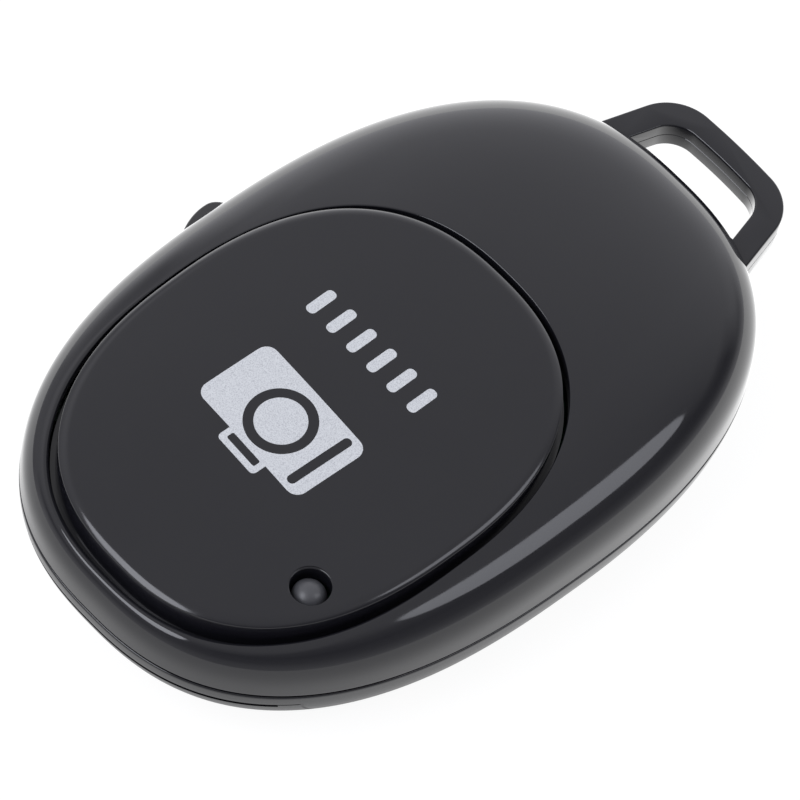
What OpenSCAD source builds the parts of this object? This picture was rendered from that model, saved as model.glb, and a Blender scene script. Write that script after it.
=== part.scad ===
// Camera shutter remote: a pebble-shaped two-part housing with one large push
// button, a slide switch in the side wall, a coin cell and a lanyard loop.
// Millimetres. +Z is up, +Y points to the lanyard loop, the flat back lies on Z = 0.

/* [Housing] */
// Length of the pebble, without the lanyard loop
body_length = 46.5; // [45.5:0.5:52]
// Width of the pebble
body_width = 31; // [30.5:0.5:35]
// Height of the seam between the shells above the back
seam_height = 5.3; // [5.2:0.1:6]
// Height of the crown above the circuit board, at the front end of the button
crown_height = 5.55; // [5.5:0.05:6.5]
// Wall thickness of both shells
shell_wall = 1.4; // [1.3:0.05:1.6]
// Joint line between the shells
seam_gap = 0.12; // [0.06:0.02:0.2]

/* [Shutter button] */
// Length of the button
button_length = 29.5; // [28:0.5:30]
// Width of the button
button_width = 23.9; // [23:0.1:24.5]
// Distance from the middle of the body back to the middle of the button
button_offset = 7; // [6.8:0.1:7.2]
// Height of the button's edge above the circuit board, at its middle
button_rise = 4.65; // [4.4:0.05:4.9]
// Height of the dome on the button
button_dome = 0.5; // [0.3:0.05:0.8]
// Thickness of the button's top
button_wall = 1.2; // [1:0.1:1.4]
// Gap between the button and its well
button_gap = 0.4; // [0.3:0.05:0.5]
// Travel of the button
button_travel = 0.3; // [0.2:0.05:0.35]

/* [Lanyard loop] */
// How far the loop stands out past the body
loop_reach = 4.35; // [4.2:0.05:8]
// Width across the arms where they leave the body
loop_root_width = 14; // [12:0.2:16]
// Width across the arms at the end bar
loop_end_width = 9.9; // [8:0.1:11]
// Width of the bar that the loop is made of
loop_bar = 1.7; // [1.4:0.1:2]
// Thickness of the loop
loop_thickness = 1.95; // [1.6:0.05:2.2]

/* [Battery] */
// Diameter of the coin cell
cell_diameter = 20; // [18:0.5:20]
// Thickness of the coin cell
cell_thickness = 3.2; // [2.9:0.1:3.2]
// Distance from the middle of the body back to the middle of the cell
cell_offset = 7; // [6.8:0.1:7.4]
// Thickness of the battery cover
cover_wall = 1.1; // [1:0.05:1.15]
// Free height between the cell and the board for the contacts
contact_height = 0.55; // [0.5:0.05:0.6]

/* [Circuit board] */
// Thickness of the circuit board
board_thickness = 0.8; // [0.6:0.1:0.9]
// Side of the square tact switch
tact_side = 6; // [4.5:0.5:6]
// Height of the tact switch's base
tact_height = 1.6; // [1.4:0.1:1.8]

/* [Slide switch] */
// Length of the finger nub along the wall
nub_length = 3.4; // [3:0.1:3.6]
// How far the nub stands out of the wall
nub_reach = 0.7; // [0.6:0.05:1]
// Travel of the slide switch
switch_travel = 2; // [1.6:0.1:2.2]

/* [Fasteners] */
// Diameter of the case screws
case_screw_diameter = 1.6; // [1.4:0.1:1.8]
// Distance between the two case screws
case_screw_spread = 15.2; // [14.4:0.2:15.6]
// Distance from the middle of the body to the case screws
case_screw_offset = 13.6; // [13.2:0.1:14]

/* [Hidden] */
$fn = 48;

// Form of the outlines and of the domed surfaces
segments = 72;
plan_power_share = 2.46;
hump_power_share = 3.36;
tail_power_share = 4.39;
crown_slope_share = 0.036;
button_power_share = 2.4;
button_egg_share = 0.016;
button_tilt_share = 0.07;
land_slope_share = 0.14;
flat_share = 0.7;
crown_ring_shares = [0, 0.015, 0.05, 0.11, 0.2, 0.32, 0.46, 0.62, 0.8];
cavity_ring_shares = [1, 0.985, 0.955, 0.9, 0.82, 0.7, 0.55, 0.35];
bowl_turns = [0, 13, 26, 39, 52, 65, 77, 90];
inner_bowl_turns = [0, 24, 48, 70, 90];
pairing_turn = 20;

// Housing, worked out from the sizes above
half_length = body_length / 2;
half_width = body_width / 2;
crown_peak_y = half_length * 0.344;
edge_round = shell_wall / 9;
overrun = shell_wall;
well_wall = shell_wall * 0.65;
button_y = -button_offset;
cell_y = -cell_offset;
half_seam_gap = seam_gap / 2;

// Tongue on the bottom shell that the top shell closes over
tongue_wall = shell_wall * 0.42;
tongue_inset = shell_wall * 0.55;
tongue_height = shell_wall * 0.5;
tongue_clearance = seam_gap * 0.8;

// Heights of the cell and of the circuit board over it
cell_clearance = 0.15;
cell_z = cover_wall + cell_clearance;
board_z = cell_z + cell_thickness + contact_height;
board_top_z = board_z + board_thickness;
crown_top_z = board_top_z + crown_height;

// Button
button_edge_z = board_top_z + button_rise;
land_height = (button_edge_z - seam_height) * 0.5146;
button_bevel = button_wall / 6;
skirt_wall = button_wall * 0.8;
skirt_depth = button_wall * 2.17;
flange_reach = button_gap * 0.7;
tab_height = button_wall / 2;
tab_reach = button_gap + button_wall * 0.4;
tab_length = button_wall * 3;
tab_clearance = button_travel / 3;
side_tab_y = button_y - button_length * 0.12;
front_tab_y = button_y + button_length / 2;
led_hole_radius = 1.22;
led_x = min(button_width * 0.3542, half_width * 0.6);
led_y = max(button_y - button_length * 0.2525, -half_length * 0.626);

// Battery compartment
cell_radius = cell_diameter / 2;
pocket_clearance = 0.25;
pocket_wall = 0.8;
cover_margin = 0.65;
cover_gap = 0.1;
ledge_wall = 0.8;
ledge_margin = 1;
pocket_radius = cell_radius + pocket_clearance;
pocket_outer = pocket_radius + pocket_wall;
cover_half_width = pocket_outer + cover_margin;
cover_end_y = cell_y + pocket_outer + cover_margin + cover_gap * 3;
cover_corner = cover_margin * 6;
cover_top_z = seam_height - ledge_wall * 1.25;
ledge_inset = cover_wall + cover_gap;
pry_gap = cover_gap * 3.2;
pry_half_width = cover_half_width - cover_margin * 1.15;
lug_width = 2.4;
lug_wall = 0.7;
lug_top_z = ledge_inset + ledge_wall + cover_wall;
front_lug_x = cell_radius * 0.75;
front_lug_y = cover_end_y - cover_margin * 1.7;
tail_lug_x = cell_radius * 0.7;
tail_lug_y = cell_y - pocket_outer - lug_wall * 0.65;

// Circuit board and what stands on it
board_inset = tongue_inset + tongue_wall + pocket_clearance;
plunger_radius = tact_side * 0.28;
plunger_rise = 0.7;
plunger_gap = 0.04;
tact_frame_wall = 0.2;
led_height = 0.6;
guide_radius = led_hole_radius * 0.86;
peg_radius = guide_radius / 3;
peg_spread = guide_radius * 1.3;
chip_height = 0.9;
chip_side = 5;
chip_place_shares = [0.12, 0.53];
memory_side = 4.4;
memory_place_shares = [-0.43, -0.65];
memory_lead_shares = [-0.375, -0.125, 0.125, 0.375];
crystal_width = 2.5;
crystal_length = 3.2;
crystal_height = 0.7;
crystal_place_shares = [-0.23, 0.55];
passive_length = 1;
passive_width = 0.5;
capacitor_place_shares = [[-0.1, 0.395], [0.04, 0.385], [-0.1, 0.67], [0.03, 0.685],
    [0.16, 0.685], [-0.3, 0.41], [0.41, -0.1], [0.41, -0.19]];
resistor_place_shares = [[-0.17, -0.7], [0.2, -0.68], [0.36, 0.41], [-0.36, 0.08],
    [0.72, -0.36], [0.35, -0.68]];
antenna_place_share = 0.75;
trace_width = 0.6;
trace_height = 0.05;
trace_step = 1.5;
trace_bars = 8;

// Slide switch
knob_wall = 0.7;
knob_clearance = 0.15;
switch_depth = 2.6;
switch_length = 6.6;
switch_height = 1.4;
lever_width = 1.3;
lever_height = 0.8;
lever_reach = 1.2;
switch_z = board_top_z + switch_height / 2;
nub_height = switch_height * 0.8;
nub_y = -nub_length * 0.26;
switch_y = nub_y + switch_travel / 2;
knob_face_x = -half_width + shell_wall + knob_clearance + pocket_clearance / 2;
switch_face_x = knob_face_x + knob_wall + lever_reach * 1.45;
plate_length = nub_length + switch_travel * 2.3;

// Loop
loop_root_y = half_length * 0.86;
loop_end_y = half_length + loop_reach;
loop_corner = loop_bar * 1.85;
loop_bow = loop_bar / 25;
loop_bow_shares = [0.6, 0.2, -0.2, -0.6];

// Fasteners
case_screw_x = case_screw_spread / 2;
case_screw_y = case_screw_offset;
screw_radius = case_screw_diameter / 2;
screw_head_radius = case_screw_diameter * 0.88;
screw_head_height = case_screw_diameter * 0.5;
screw_clearance = 0.1;
boss_wall = 1.05;
boss_radius = screw_radius + boss_wall;
post_radius = screw_head_radius + pocket_wall;
recess_depth = shell_wall * 1.2;
board_screw_radius = 0.7;
board_post_radius = board_screw_radius + pocket_wall;
board_screw_x = half_width * 0.671;
board_screw_y = cover_end_y + ledge_margin + board_post_radius + screw_clearance;

// Hooks that hold the shells together at the tail
hook_width = 3;
hook_spread = 10;
hook_wall = 0.7;
hook_reach = 0.9;
barb_height = 0.6;
hook_clearance = 0.15;
hook_y = hook_clearance - wall_reach((hook_spread + hook_width) / 2, shell_wall);
hook_top_z = skirt_plane_z(hook_y - hook_reach) - button_travel - hook_clearance;

// Outlines

function signed_power(value, power) = sign(value) * pow(abs(value), power);

// A point of an oval whose corners fill out as the power grows past two
function oval_point(half_x, half_y, power, turn, egg = 0) =
    let (y = signed_power(sin(turn), 2 / power))
    [half_x * signed_power(cos(turn), 2 / power) * (1 + egg * y), half_y * y];

function turns() = [for (i = [0:segments - 1]) i * 360 / segments];

function body_point(inset, turn) =
    oval_point(half_width - inset, half_length - inset, plan_power_share, turn);

function body_outline(inset) = [for (turn = turns()) body_point(inset, turn)];

// How far the outline, set in by a wall, reaches along Y at a distance from the middle
function wall_reach(x, inset) = (half_length - inset)
    * pow(1 - pow(x / (half_width - inset), plan_power_share), 1 / plan_power_share);

function button_point(grow, turn) =
    oval_point(button_width / 2 + grow, button_length / 2 + grow,
        button_power_share, turn, button_egg_share) + [0, button_y];

function button_outline(grow) = [for (turn = turns()) button_point(grow, turn)];

// How far out a point lies on an oval like the body's: 0 in the middle, 1 on its edge
function reach_share(point, inset) =
    pow(pow(abs(point[0]) / (half_width - inset), plan_power_share)
        + pow(abs(point[1]) / (half_length - inset), plan_power_share), 1 / plan_power_share);

// Height of the crown surface, or of the same surface set in by a wall
function crown_z(point, inset = 0) =
    let (edge = min(1, reach_share(point, inset)),
        along = 0.5 + 0.5 * point[1] / half_length,
        power = tail_power_share + (hump_power_share - tail_power_share) * along,
        rise = crown_top_z - seam_height - inset + crown_slope_share * (point[1] - crown_peak_y))
    seam_height + rise * pow(max(0, 1 - pow(edge, plan_power_share)), 1 / power);

// The flat land behind the button, which cuts the crown off near the tail
function land_z(point) =
    seam_height + land_height + land_slope_share * (point[1] + half_length);

function top_z(point) = min(crown_z(point), land_z(point));

// Height of the button's edge, and of its dome, at a point
function button_plane_z(point) =
    button_edge_z + button_tilt_share * (point[1] - button_y);

// Height of the lower edge of the button's skirt, which is parallel to its top
function skirt_plane_z(y) =
    button_edge_z - skirt_depth + button_tilt_share * (y - button_y);

function raise(points, z) = [for (point = points) [point[0], point[1], z]];

// Solids from rings of points, each ring with the same number of points

function ring_quads(first, last, count) = [
    for (ring = [first:last], i = [0:count - 1])
        let (a = ring * count + i,
            b = ring * count + (i + 1) % count,
            c = a + count,
            d = b + count)
        each [[a, c, d], [a, d, b]]];

// A solid between its first and its last ring, which are both flat
module stacked_solid(rings) {
    count = len(rings[0]);
    last = len(rings) - 1;
    polyhedron(
        points = [for (ring = rings) each ring],
        faces = concat(
            ring_quads(0, last - 1, count),
            [[for (i = [0:count - 1]) i]],
            [[for (i = [count - 1:-1:0]) last * count + i]]));
}

// A solid that ends in a point over its last ring
module capped_solid(rings, tip) {
    count = len(rings[0]);
    last = len(rings) - 1;
    tip_index = len(rings) * count;
    polyhedron(
        points = concat([for (ring = rings) each ring], [tip]),
        faces = concat(
            ring_quads(0, last - 1, count),
            [[for (i = [0:count - 1]) i]],
            [for (i = [0:count - 1])
                [last * count + i, tip_index, last * count + (i + 1) % count]]));
}

// A solid that runs round an opening: its last ring joins its first
module annular_solid(rings) {
    count = len(rings[0]);
    last = len(rings) - 1;
    polyhedron(
        points = [for (ring = rings) each ring],
        faces = concat(
            ring_quads(0, last - 1, count),
            [for (i = [0:count - 1])
                let (a = last * count + i, b = last * count + (i + 1) % count)
                each [[a, i, (i + 1) % count], [a, (i + 1) % count, b]]]));
}

// Top shell

function well_turn(turn) = turn + pairing_turn * cos(turn);

// A ring of the crown: share 0 lies on the seam, share 1 on the edge of the well
function crown_ring(share) = [
    for (turn = turns())
        let (point = body_point(0, turn) * (1 - share)
            + button_point(button_gap + edge_round, well_turn(turn)) * share)
        [point[0], point[1], top_z(point)]];

function well_ring(grow, z) = [
    for (turn = turns())
        let (point = button_point(button_gap + grow, well_turn(turn)))
        [point[0], point[1], z == undef ? top_z(point) - edge_round : z]];

// The crown with its well cut right through
module crown_with_well() {
    base_z = seam_height + half_seam_gap;
    annular_solid(concat(
        [raise(body_outline(0), base_z)],
        [for (i = [1:len(crown_ring_shares) - 1]) crown_ring(crown_ring_shares[i])],
        [crown_ring(1)],
        [well_ring(0)],
        [well_ring(0, base_z)]));
}

// The hollow under the crown
module crown_cavity() {
    capped_solid(concat(
        [raise(body_outline(shell_wall), seam_height - overrun)],
        [for (share = cavity_ring_shares)
            [for (turn = turns())
                let (point = body_point(shell_wall, turn) * share)
                [point[0], point[1], crown_z(point, shell_wall)]]]),
        [0, 0, crown_z([0, 0], shell_wall)]);
}

// The wall round the well ends just over the button's tabs
module well_block() {
    outline = button_outline(button_gap + well_wall);
    stacked_solid([
        [for (point = outline)
            [point[0], point[1], skirt_plane_z(point[1]) + tab_height + tab_clearance]],
        raise(outline, crown_top_z + overrun)]);
}

module rebate() {
    translate([0, 0, seam_height - overrun])
        linear_extrude(overrun + tongue_height + tongue_clearance)
            difference() {
                polygon(body_outline(tongue_inset - tongue_clearance));
                polygon(body_outline(shell_wall + tongue_wall));
            }
}

// The loop's bar, as a frame with rounded corners
module loop_frame() {
    slant = (loop_root_width - loop_end_width) / 2 / (loop_end_y - loop_root_y);
    across = loop_bar * sqrt(1 + slant * slant);
    translate([0, 0, seam_height + half_seam_gap])
        linear_extrude(loop_thickness)
            difference() {
                loop_outline(0, 0, loop_corner);
                loop_outline(across, loop_bar * 0.9, loop_corner - loop_bar * 0.73);
                translate([-half_width, 0])
                    square([body_width, loop_root_y]);
            }
}

// The loop's outline set in from its arms and its end, with round corners
module loop_outline(arm_inset, end_inset, corner) {
    end_y = loop_end_y - end_inset - loop_bow;
    slant = (loop_root_width - loop_end_width) / 2 / (loop_end_y - loop_root_y);
    root_x = loop_root_width / 2 - arm_inset;
    end_x = root_x - slant * (end_y - loop_root_y);
    turn = 90 - atan(slant);
    centre_y = end_y - corner;
    centre_x = end_x + slant * corner - corner * sqrt(1 + slant * slant);
    far_x = root_x + slant * half_length;
    arc = [for (i = [0:6]) i * turn / 6 + atan(slant)];
    polygon(concat(
        [[-far_x, loop_root_y - half_length], [far_x, loop_root_y - half_length]],
        [for (a = arc) [centre_x + corner * cos(a), centre_y + corner * sin(a)]],
        [for (s = loop_bow_shares) [centre_x * s, end_y + loop_bow * (1 - s * s)]],
        [for (i = [6:-1:0]) [-centre_x - corner * cos(arc[i]), centre_y + corner * sin(arc[i])]]));
}

// The slot in the side wall that the switch nub slides in
module nub_slot(clearance) {
    translate([-half_width - overrun,
            nub_y - nub_length / 2 - clearance,
            switch_z - nub_height / 2 - clearance])
        cube([shell_wall + overrun + shell_wall,
            nub_length + switch_travel + clearance * 2,
            nub_height + clearance * 2]);
}

// Room behind the side wall for the knob's plate
module plate_space() {
    translate([knob_face_x - knob_clearance,
            switch_y - plate_length / 2 - switch_travel / 2 - knob_clearance,
            seam_height - overrun])
        cube([shell_wall * 2,
            plate_length + switch_travel + knob_clearance * 2,
            switch_z + switch_height + overrun - seam_height]);
}

// Places of the three tabs that keep the button in its well
module at_tabs() {
    for (side = [-1, 1])
        translate([side * (button_width - skirt_wall) / 2, side_tab_y, skirt_plane_z(side_tab_y)])
            mirror([side < 0 ? 1 : 0, 0, 0])
                children();
    translate([0, front_tab_y - skirt_wall / 2, skirt_plane_z(front_tab_y)])
        rotate([0, 0, 90])
            children();
}

// One tab, grown sideways by a clearance and up and down by others
module tab(clearance, below, above) {
    translate([0, -tab_length / 2 - clearance, -below])
        cube([skirt_wall / 2 + tab_reach + clearance, tab_length + clearance * 2,
            tab_height + below + above]);
}

module at_hooks() {
    for (side = [-1, 1])
        translate([side * hook_spread / 2, hook_y, 0])
            children();
}

// The barb on a hook, or with a clearance the pocket that it catches in
module barb(clearance) {
    translate([-hook_width / 2 - clearance, -hook_reach - clearance,
            hook_top_z - barb_height - clearance])
        cube([hook_width + clearance * 2, hook_reach + hook_wall / 2 + clearance,
            barb_height + clearance * 2]);
}

module at_case_screws() {
    for (side = [-1, 1])
        translate([side * case_screw_x, case_screw_y, 0])
            children();
}

module at_board_screws() {
    for (side = [-1, 1])
        translate([side * board_screw_x, board_screw_y, 0])
            children();
}

module top_shell() {
    boss_top_z = crown_z([case_screw_x, case_screw_y], shell_wall / 2);
    color([0.09, 0.09, 0.1])
    difference() {
        union() {
            difference() {
                union() {
                    crown_with_well();
                    loop_frame();
                }
                difference() {
                    crown_cavity();
                    well_block();
                }
            }
            at_case_screws()
                translate([0, 0, board_z])
                    cylinder(r = boss_radius, h = boss_top_z - board_z);
        }
        rebate();
        nub_slot(knob_clearance);
        plate_space();
        at_tabs()
            tab(tab_clearance, button_travel + tab_clearance, tab_clearance);
        at_hooks()
            barb(hook_clearance);
        at_case_screws()
            translate([0, 0, board_z - overrun])
                cylinder(r = screw_radius - screw_clearance,
                    h = overrun + board_thickness + boss_radius * 1.6);
    }
}

// Bottom shell

function bowl_ring(inset, turn) =
    let (share = flat_share + (1 - flat_share) * cos(turn))
    [for (point = body_outline(inset))
        [point[0] * share, point[1] * share, inset + (seam_height - inset) * (1 - sin(turn))]];

// The bottom shell's outer form set in by an inset, as a solid up to a given height
module bowl(inset, top_z) {
    turns = inset > 0 ? inner_bowl_turns : bowl_turns;
    stacked_solid(concat(
        [for (i = [len(turns) - 1:-1:0]) bowl_ring(inset, turns[i])],
        top_z > seam_height ? [raise(body_outline(inset), top_z)] : []));
}

// The cover's outline seen from below, open past the tail, grown by a margin
module cover_block(grow, top_z) {
    corner = cover_corner + grow;
    half = cover_half_width + grow;
    end_y = cover_end_y + grow;
    translate([0, 0, -overrun])
        linear_extrude(top_z + overrun)
            union() {
                translate([-half, -body_length])
                    square([half * 2, body_length + end_y - corner]);
                translate([-half + corner, -body_length])
                    square([(half - corner) * 2, body_length + end_y]);
                for (side = [-1, 1])
                    translate([side * (half - corner), end_y - corner])
                        circle(r = corner);
            }
}

module tongue() {
    translate([0, 0, seam_height - half_seam_gap - shell_wall / 2])
        linear_extrude(shell_wall / 2 + half_seam_gap + tongue_height)
            difference() {
                polygon(body_outline(tongue_inset));
                polygon(body_outline(tongue_inset + tongue_wall));
            }
}

// The ledge that the cover seats against, with the ring that holds the cell
module ledge_and_pocket() {
    difference() {
        intersection() {
            union() {
                difference() {
                    cover_block(ledge_margin, board_z - cell_clearance);
                    bowl(ledge_inset + ledge_wall, seam_height + overrun);
                }
                translate([0, cell_y, 0])
                    cylinder(r = pocket_outer, h = board_z);
                at_hooks()
                    translate([-hook_width / 2, 0, ledge_inset])
                        cube([hook_width, hook_wall, board_z - ledge_inset]);
            }
            bowl(ledge_inset, board_z);
        }
        cell_space();
        positive_contact_space();
        at_lugs()
            lug(cover_gap, lug_top_z + overrun);
    }
}

module at_lugs() {
    for (side = [-1, 1], place = [[front_lug_x, front_lug_y], [tail_lug_x, tail_lug_y]])
        translate([side * place[0], place[1], 0])
            children();
}

// A lug on the cover, or with a clearance the slot in the ledge that it pushes into
module lug(clearance, top_z) {
    translate([-lug_width / 2 - clearance, -lug_wall / 2 - clearance, 0])
        cube([lug_width + clearance * 2, lug_wall + clearance * 2, top_z]);
}

module cell_space() {
    translate([0, cell_y, -overrun])
        cylinder(r = pocket_radius, h = board_z + overrun * 2);
}

module bottom_shell() {
    color([0.09, 0.09, 0.1])
    difference() {
        union() {
            difference() {
                bowl(0, seam_height);
                bowl(shell_wall, seam_height + overrun);
                cover_block(cover_gap, cover_top_z + cover_gap);
                translate([-body_width, -body_length, seam_height - half_seam_gap])
                    cube([body_width * 2, body_length * 2, overrun]);
            }
            ledge_and_pocket();
            tongue();
            at_hooks() {
                translate([-hook_width / 2, 0, board_z - hook_wall])
                    cube([hook_width, hook_wall, hook_top_z - board_z + hook_wall]);
                barb(0);
            }
            intersection() {
                union() {
                    at_case_screws()
                        cylinder(r = post_radius, h = board_z - cell_clearance / 3);
                    at_board_screws()
                        cylinder(r = board_post_radius, h = board_z);
                }
                bowl(shell_wall / 2, board_z);
            }
        }
        nub_slot(knob_clearance);
        plate_space();
        at_case_screws() {
            translate([0, 0, -overrun])
                cylinder(r = screw_head_radius + screw_clearance, h = overrun + recess_depth);
            translate([0, 0, -overrun])
                cylinder(r = screw_radius + screw_clearance, h = board_z + overrun * 2);
        }
        at_board_screws()
            translate([0, 0, shell_wall])
                cylinder(r = board_screw_radius - screw_clearance, h = board_z);
    }
}

// Battery cover

module battery_cover() {
    color([0.1, 0.1, 0.11])
    difference() {
        union() {
            intersection() {
                difference() {
                    bowl(0, seam_height);
                    bowl(cover_wall, seam_height + overrun);
                }
                cover_block(0, cover_top_z);
            }
            intersection() {
                at_lugs()
                    lug(0, lug_top_z);
                bowl(cover_wall / 2, seam_height);
            }
        }
        translate([0, cell_y, cover_wall])
            cylinder(r = pocket_radius, h = cell_z);
        translate([-pry_half_width, -body_length, cover_top_z + cover_gap - pry_gap])
            cube([pry_half_width * 2, body_length, overrun]);
    }
}

// Shutter button

// A ring of the button's top: share 1 is the inner edge of the bevel
function dome_ring(share, drop) = [
    for (turn = turns())
        let (middle = [0, button_y],
            point = middle + (button_point(-button_bevel, turn) - middle) * share)
        [point[0], point[1],
            button_plane_z(point) + button_dome * (1 - share * share) - drop]];

// A ring of the round edge, a part of a quarter turn down from the top
function bevel_ring(turn_down) = [
    for (turn = turns())
        let (point = button_point(-button_bevel * (1 - sin(turn_down)), turn))
        [point[0], point[1], button_plane_z(point) - button_bevel * (1 - cos(turn_down))]];

function dome_tip(drop) = [0, button_y, button_edge_z + button_dome - drop];

function skirt_ring(grow, lift) = [
    for (point = button_outline(grow))
        [point[0], point[1], skirt_plane_z(point[1]) + lift]];

// The button's outer form. The flange round its skirt closes the groove to the well.
module button_body() {
    capped_solid(concat(
        [skirt_ring(flange_reach, 0), skirt_ring(flange_reach, tab_height),
            skirt_ring(0, tab_height)],
        [for (turn_down = [90, 60, 30]) bevel_ring(turn_down)],
        [for (share = [1, 0.8, 0.55, 0.3]) dome_ring(share, 0)]),
        dome_tip(0));
}

// The hollow under the button's top
module button_hollow() {
    inner_share = 1 - (skirt_wall - button_bevel) / (button_width / 2 - button_bevel);
    capped_solid(concat(
        [skirt_ring(-skirt_wall, -overrun)],
        [[for (turn = turns())
            let (point = button_point(-skirt_wall, turn))
            [point[0], point[1], button_plane_z(point) - button_wall]]],
        [for (share = [0.7, 0.4]) dome_ring(inner_share * share, button_wall)]),
        dome_tip(button_wall));
}

// The post on the underside that presses the tact switch, with its ribs
module button_post() {
    post_z = board_top_z + tact_height + tact_frame_wall + plunger_rise + plunger_gap;
    rib_wall = button_wall * 0.6;
    translate([0, button_y, post_z])
        cylinder(r = plunger_radius * 1.1, h = button_edge_z - post_z);
    for (turn = [0:60:300])
        translate([0, button_y, post_z])
            rotate([0, 0, turn + 30])
                translate([plunger_radius / 2, -rib_wall / 2, 0])
                    cube([(button_width - skirt_wall - plunger_radius) / 2, rib_wall,
                        button_edge_z - button_wall / 2 - post_z]);
}

module shutter_button() {
    color([0.12, 0.12, 0.13])
    difference() {
        union() {
            difference() {
                button_body();
                button_hollow();
            }
            intersection() {
                button_post();
                button_body();
            }
            at_tabs()
                tab(0, 0, 0);
        }
        translate([led_x, led_y, board_top_z])
            cylinder(r = led_hole_radius, h = button_rise + overrun);
    }
}

// Status light and its guide

module led_light_guide() {
    foot_z = board_top_z + led_height + cell_clearance;
    foot_height = led_height * 0.55;
    dome_z = button_plane_z([led_x, led_y]) - button_wall;
    color([0.25, 0.25, 0.27])
    translate([led_x, led_y, 0]) {
        translate([0, 0, foot_z])
            rotate_extrude()
                polygon(concat(
                    [[0, 0], [guide_radius * 1.6, 0], [guide_radius * 1.6, foot_height],
                        [guide_radius, foot_height]],
                    [for (a = [0:15:75])
                        [guide_radius * cos(a), dome_z - foot_z + guide_radius * 0.55 * sin(a)]],
                    [[0, dome_z - foot_z + guide_radius * 0.55]]));
        for (side = [-1, 1])
            translate([0, side * peg_spread, board_z])
                cylinder(r = peg_radius, h = foot_z - board_z + foot_height / 2);
    }
}

module status_led() {
    color([0.95, 0.93, 0.85])
    translate([led_x, led_y, board_top_z]) {
        translate([-led_height * 1.3, -led_height * 0.65, 0])
            cube([led_height * 2.6, led_height * 1.3, led_height * 0.5]);
        translate([-led_height * 0.9, -led_height * 0.65, led_height * 0.5])
            cube([led_height * 1.8, led_height * 1.3, led_height * 0.5]);
    }
}

// Slide switch with its knob

module power_switch_knob() {
    nub_radius = (nub_length * nub_length / 4 + nub_reach * nub_reach) / 2 / nub_reach;
    fork_wall = lever_width / 2;
    plate_height = switch_height * 1.15;
    color([0.13, 0.13, 0.14])
    translate([0, nub_y, switch_z]) {
        translate([knob_face_x, -plate_length / 2, -plate_height / 2])
            cube([knob_wall, plate_length, plate_height]);
        intersection() {
            translate([-half_width - nub_reach + nub_radius, 0, -nub_height / 2])
                cylinder(r = nub_radius, h = nub_height);
            translate([-half_width - nub_radius * 2, -nub_length / 2, -nub_height])
                cube([knob_face_x + half_width + nub_radius * 2 + knob_wall / 2,
                    nub_length, nub_height * 2]);
        }
        for (side = [-1, 1])
            translate([knob_face_x + knob_wall / 2,
                    side * (lever_width + fork_wall + plunger_gap) / 2 - fork_wall / 2,
                    -lever_height / 2])
                cube([knob_wall / 2 + lever_reach * 1.2, fork_wall - plunger_gap, lever_height]);
    }
}

module slide_switch_body() {
    foot = switch_height / 4;
    color([0.75, 0.76, 0.78])
    translate([switch_face_x, switch_y, board_top_z]) {
        difference() {
            translate([0, -switch_length / 2, 0])
                cube([switch_depth, switch_length, switch_height]);
            translate([-overrun, -lever_width / 2 - switch_travel / 2 - knob_clearance,
                    switch_height / 2 - lever_height / 2 - knob_clearance])
                cube([overrun + switch_depth * 0.7,
                    lever_width + switch_travel + knob_clearance * 2,
                    lever_height + knob_clearance * 2]);
        }
        for (side = [-1, 0, 1])
            translate([switch_depth, side * switch_length / 3 - foot / 2, 0])
                cube([foot * 2, foot, foot]);
    }
}

module slide_switch_lever() {
    color([0.08, 0.08, 0.08])
    translate([switch_face_x, nub_y, switch_z]) {
        translate([-lever_reach, -lever_width / 2, -lever_height / 2])
            cube([lever_reach + switch_depth * 0.6, lever_width, lever_height]);
    }
}

// Circuit board

module guide_peg_holes(clearance) {
    for (side = [-1, 1])
        translate([led_x, led_y + side * peg_spread, board_z - overrun])
            cylinder(r = peg_radius + clearance, h = board_thickness + overrun * 2);
}

module circuit_board() {
    color([0.05, 0.32, 0.16])
    difference() {
        translate([0, 0, board_z])
            linear_extrude(board_thickness)
                polygon(body_outline(board_inset));
        translate([-body_width + switch_face_x,
                switch_y - plate_length / 2 - switch_travel / 2 - knob_clearance * 2,
                board_z - overrun])
            cube([body_width, plate_length + switch_travel + knob_clearance * 4,
                board_thickness + overrun * 2]);
        at_case_screws()
            translate([0, 0, board_z - overrun])
                cylinder(r = boss_radius + screw_clearance * 2,
                    h = board_thickness + overrun * 2);
        at_board_screws()
            translate([0, 0, board_z - overrun])
                cylinder(r = board_screw_radius + screw_clearance,
                    h = board_thickness + overrun * 2);
        at_hooks()
            translate([-hook_width / 2 - hook_clearance, -half_length, board_z - overrun])
                cube([hook_width + hook_clearance * 2, half_length + hook_wall + hook_clearance,
                    board_thickness + overrun * 2]);
        guide_peg_holes(plunger_gap);
    }
}

module tact_switch_base() {
    color([0.07, 0.07, 0.07])
    translate([-tact_side / 2, button_y - tact_side / 2, board_top_z])
        difference() {
            cube([tact_side, tact_side, tact_height]);
            translate([tact_side / 2, tact_side / 2,
                    tact_height - plunger_rise - button_travel - plunger_gap])
                cylinder(r = plunger_radius + pocket_clearance, h = tact_height);
        }
}

module tact_switch_frame() {
    leg = tact_side / 6;
    color([0.8, 0.8, 0.82])
    translate([0, button_y, board_top_z]) {
        translate([-tact_side / 2, -tact_side / 2, tact_height])
            difference() {
                cube([tact_side, tact_side, tact_frame_wall]);
                translate([tact_side / 2, tact_side / 2, -overrun])
                    cylinder(r = plunger_radius + cell_clearance, h = overrun * 2);
            }
        for (side = [-1, 1], end = [-1, 1])
            translate([side * (tact_side / 2 + tact_frame_wall / 2) - tact_frame_wall / 2,
                    end * (tact_side / 2 - leg) - leg / 2, 0])
                cube([tact_frame_wall, leg, tact_height + tact_frame_wall]);
    }
}

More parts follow.
